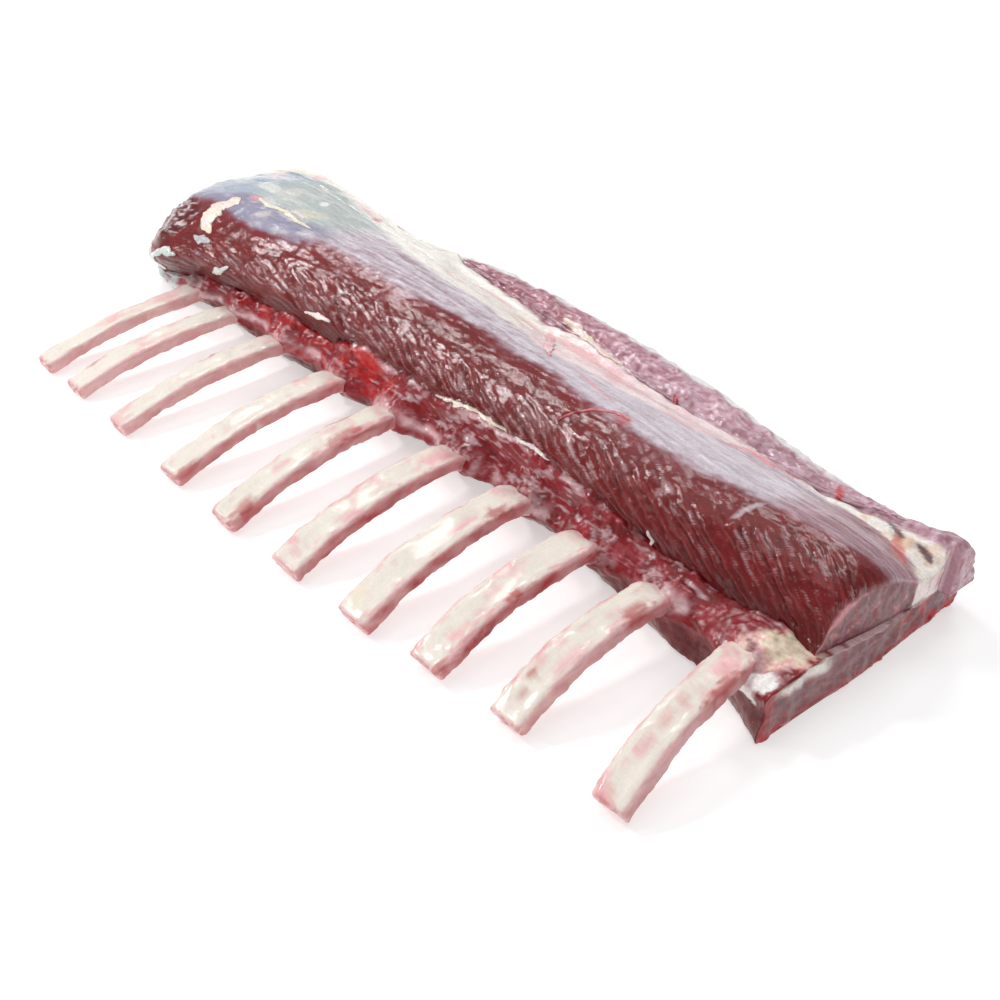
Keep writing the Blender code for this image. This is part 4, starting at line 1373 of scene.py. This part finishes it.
def build_camera():
    data = bpy.data.cameras.new("camera")
    data.lens = CAMERA_LENS
    data.sensor_width = 36.0
    data.clip_start, data.clip_end = 0.01, 20.0
    camera = bpy.data.objects.new("camera", data)
    a, drop = math.radians(CAMERA_AZIMUTH), math.radians(CAMERA_DROP)
    forward = Vector((-math.cos(a) * math.cos(drop), math.sin(a) * math.cos(drop),
                      -math.sin(drop)))
    camera.location = CAMERA_PLACE
    camera.rotation_mode = "QUATERNION"
    camera.rotation_quaternion = forward.to_track_quat("-Z", "Y")
    bpy.context.scene.collection.objects.link(camera)
    bpy.context.scene.camera = camera


# ---- Build ----
def finish_skin(grid, material, node, slot, cap):
    """Adds relief and paint to a loin or the fat; only its open side and its cuts move."""
    x, y, z = grid.points.T
    zone = grid.tags["zone"]
    relief = np.where(zone == OPEN, skin_relief(x, grid.tags["v"] * GIRTH), 0.0)
    relief = np.where(zone >= NEAR_CUT, 1.1 * fbm(y / 6, z / 6, x / 6, 61, 3), relief)
    displace(grid, relief)
    make_object(grid, material, node, slot, *paint_skin(grid, cap))


def eye_rim(y, z):
    """1 at the edge of the eye's cut face."""
    return smooth(0.80, 0.98, np.hypot((y - 118) / 32, (z - 16) / 22))


def build_skin():
    """The two loins, the fat between them and the scraps that lie on them."""
    material = tissue_material("wet_loin", 0.85, 0.5, (1.3, 0.16, 1.0), 0.22, 0.04, 0.3)
    loin = loin_grid("near_loin_meat", 0, LOIN_END, LOIN_COLUMNS, 5.0, max(GROOVE_Z) + 1)
    finish_skin(loin, material, "near_loin", "loin_meat",
                cap_paint(CUT_BROWN, CUT_GREY, eye_rim, PINK))
    fat = loin_grid("back_fat_strip", 1, LOIN_END, FAT_COLUMNS, 1.5, EDGE_Z + 1)
    finish_skin(fat, material, "back_fat", "fat",
                cap_paint(CREAM, PINK_CREAM, lambda y, z: smooth(20, 24, z) * 0.5, ORANGE_CREAM))
    far = loin_grid("far_loin_meat", 2, LOBE_END, FAR_COLUMNS, 5.0, EDGE_Z + 1)
    finish_skin(far, material, "far_loin", "far_meat",
                cap_paint(FAR_RED, FAR_MAUVE, lambda y, z: smooth(24, 30, z) * 0.4, BLOOD))
    build_scraps(material)


def plate_relief(grid):
    """Uneven lip, a collar of meat round each rib, and the ridge where the strip rises."""
    x, y, z = grid.points.T
    share, zone = grid.tags["v"], grid.tags["zone"]
    up = share / PLATE_FRONT
    relief = 0.5 * fbm(x / 9, y / 9, z / 9, 62, 3) + 0.35 * fbm(x / 3, y / 3, z / 3, 63, 3)
    relief = relief + bump_mask(up, 0.3, 0.8, 0.12) * (1.2 * fbm(x / 6, 0.1, z / 6, 64, 3) - 0.3)
    ragged = 1.0 + 0.5 * fbm(x / 4, y / 4, z / 4, 66, 2)
    for rib in RIBS:
        near_rib = np.exp(-((x - rib[1]) / (rib[3] * 0.74)) ** 4)
        relief = relief + 3.0 * ragged * near_rib * bump_mask(up, 0.6, 1.2, 0.1)
    strip = read_line(STRIP_TO, x)
    relief = relief + 3.4 * smooth(0.8, 1.0, up) * (up <= 1.0) * smooth(-3, 3, strip)
    hidden = (zone == OPEN) & (up >= 1.0) & (share < PLATE_BACK_FROM)
    relief = np.where(hidden, 0.0, relief * np.where(zone == UNDER, 0.25, 1.0))
    return np.where(zone == NEAR_CUT, 1.3 * fbm(x / 5, y / 5, z / 5, 65, 3), relief)


def build_plate():
    material = tissue_material("wet_plate", 0.7, 0.55, (0.8, 0.2, 0.8), 0.22, 0.04, 0.32)
    grid = plate_grid(PLATE_COLUMNS)
    displace(grid, plate_relief(grid))
    grid.points[:, 2] = np.maximum(grid.points[:, 2], 0.0)
    make_object(grid, material, "rib_plate", "plate_meat", *plate_colours(grid))


def build_ribs():
    material = tissue_material("scraped_bone", 0.35, 0.22, (1.2, 0.22, 1.0), 0.0, 0.08, 0.1)
    for number, rib in enumerate(RIBS, start=1):
        grid = rib_grid(number, rib)
        displace(grid, rib_relief(number, rib, grid))
        grid.points[:, 2] = np.maximum(grid.points[:, 2], 0.0)
        make_object(grid, material, "rib_%02d" % number, "bone", *rib_colours(number, rib, grid))


build_stage()
build_light()
build_camera()
build_skin()
build_plate()
build_ribs()
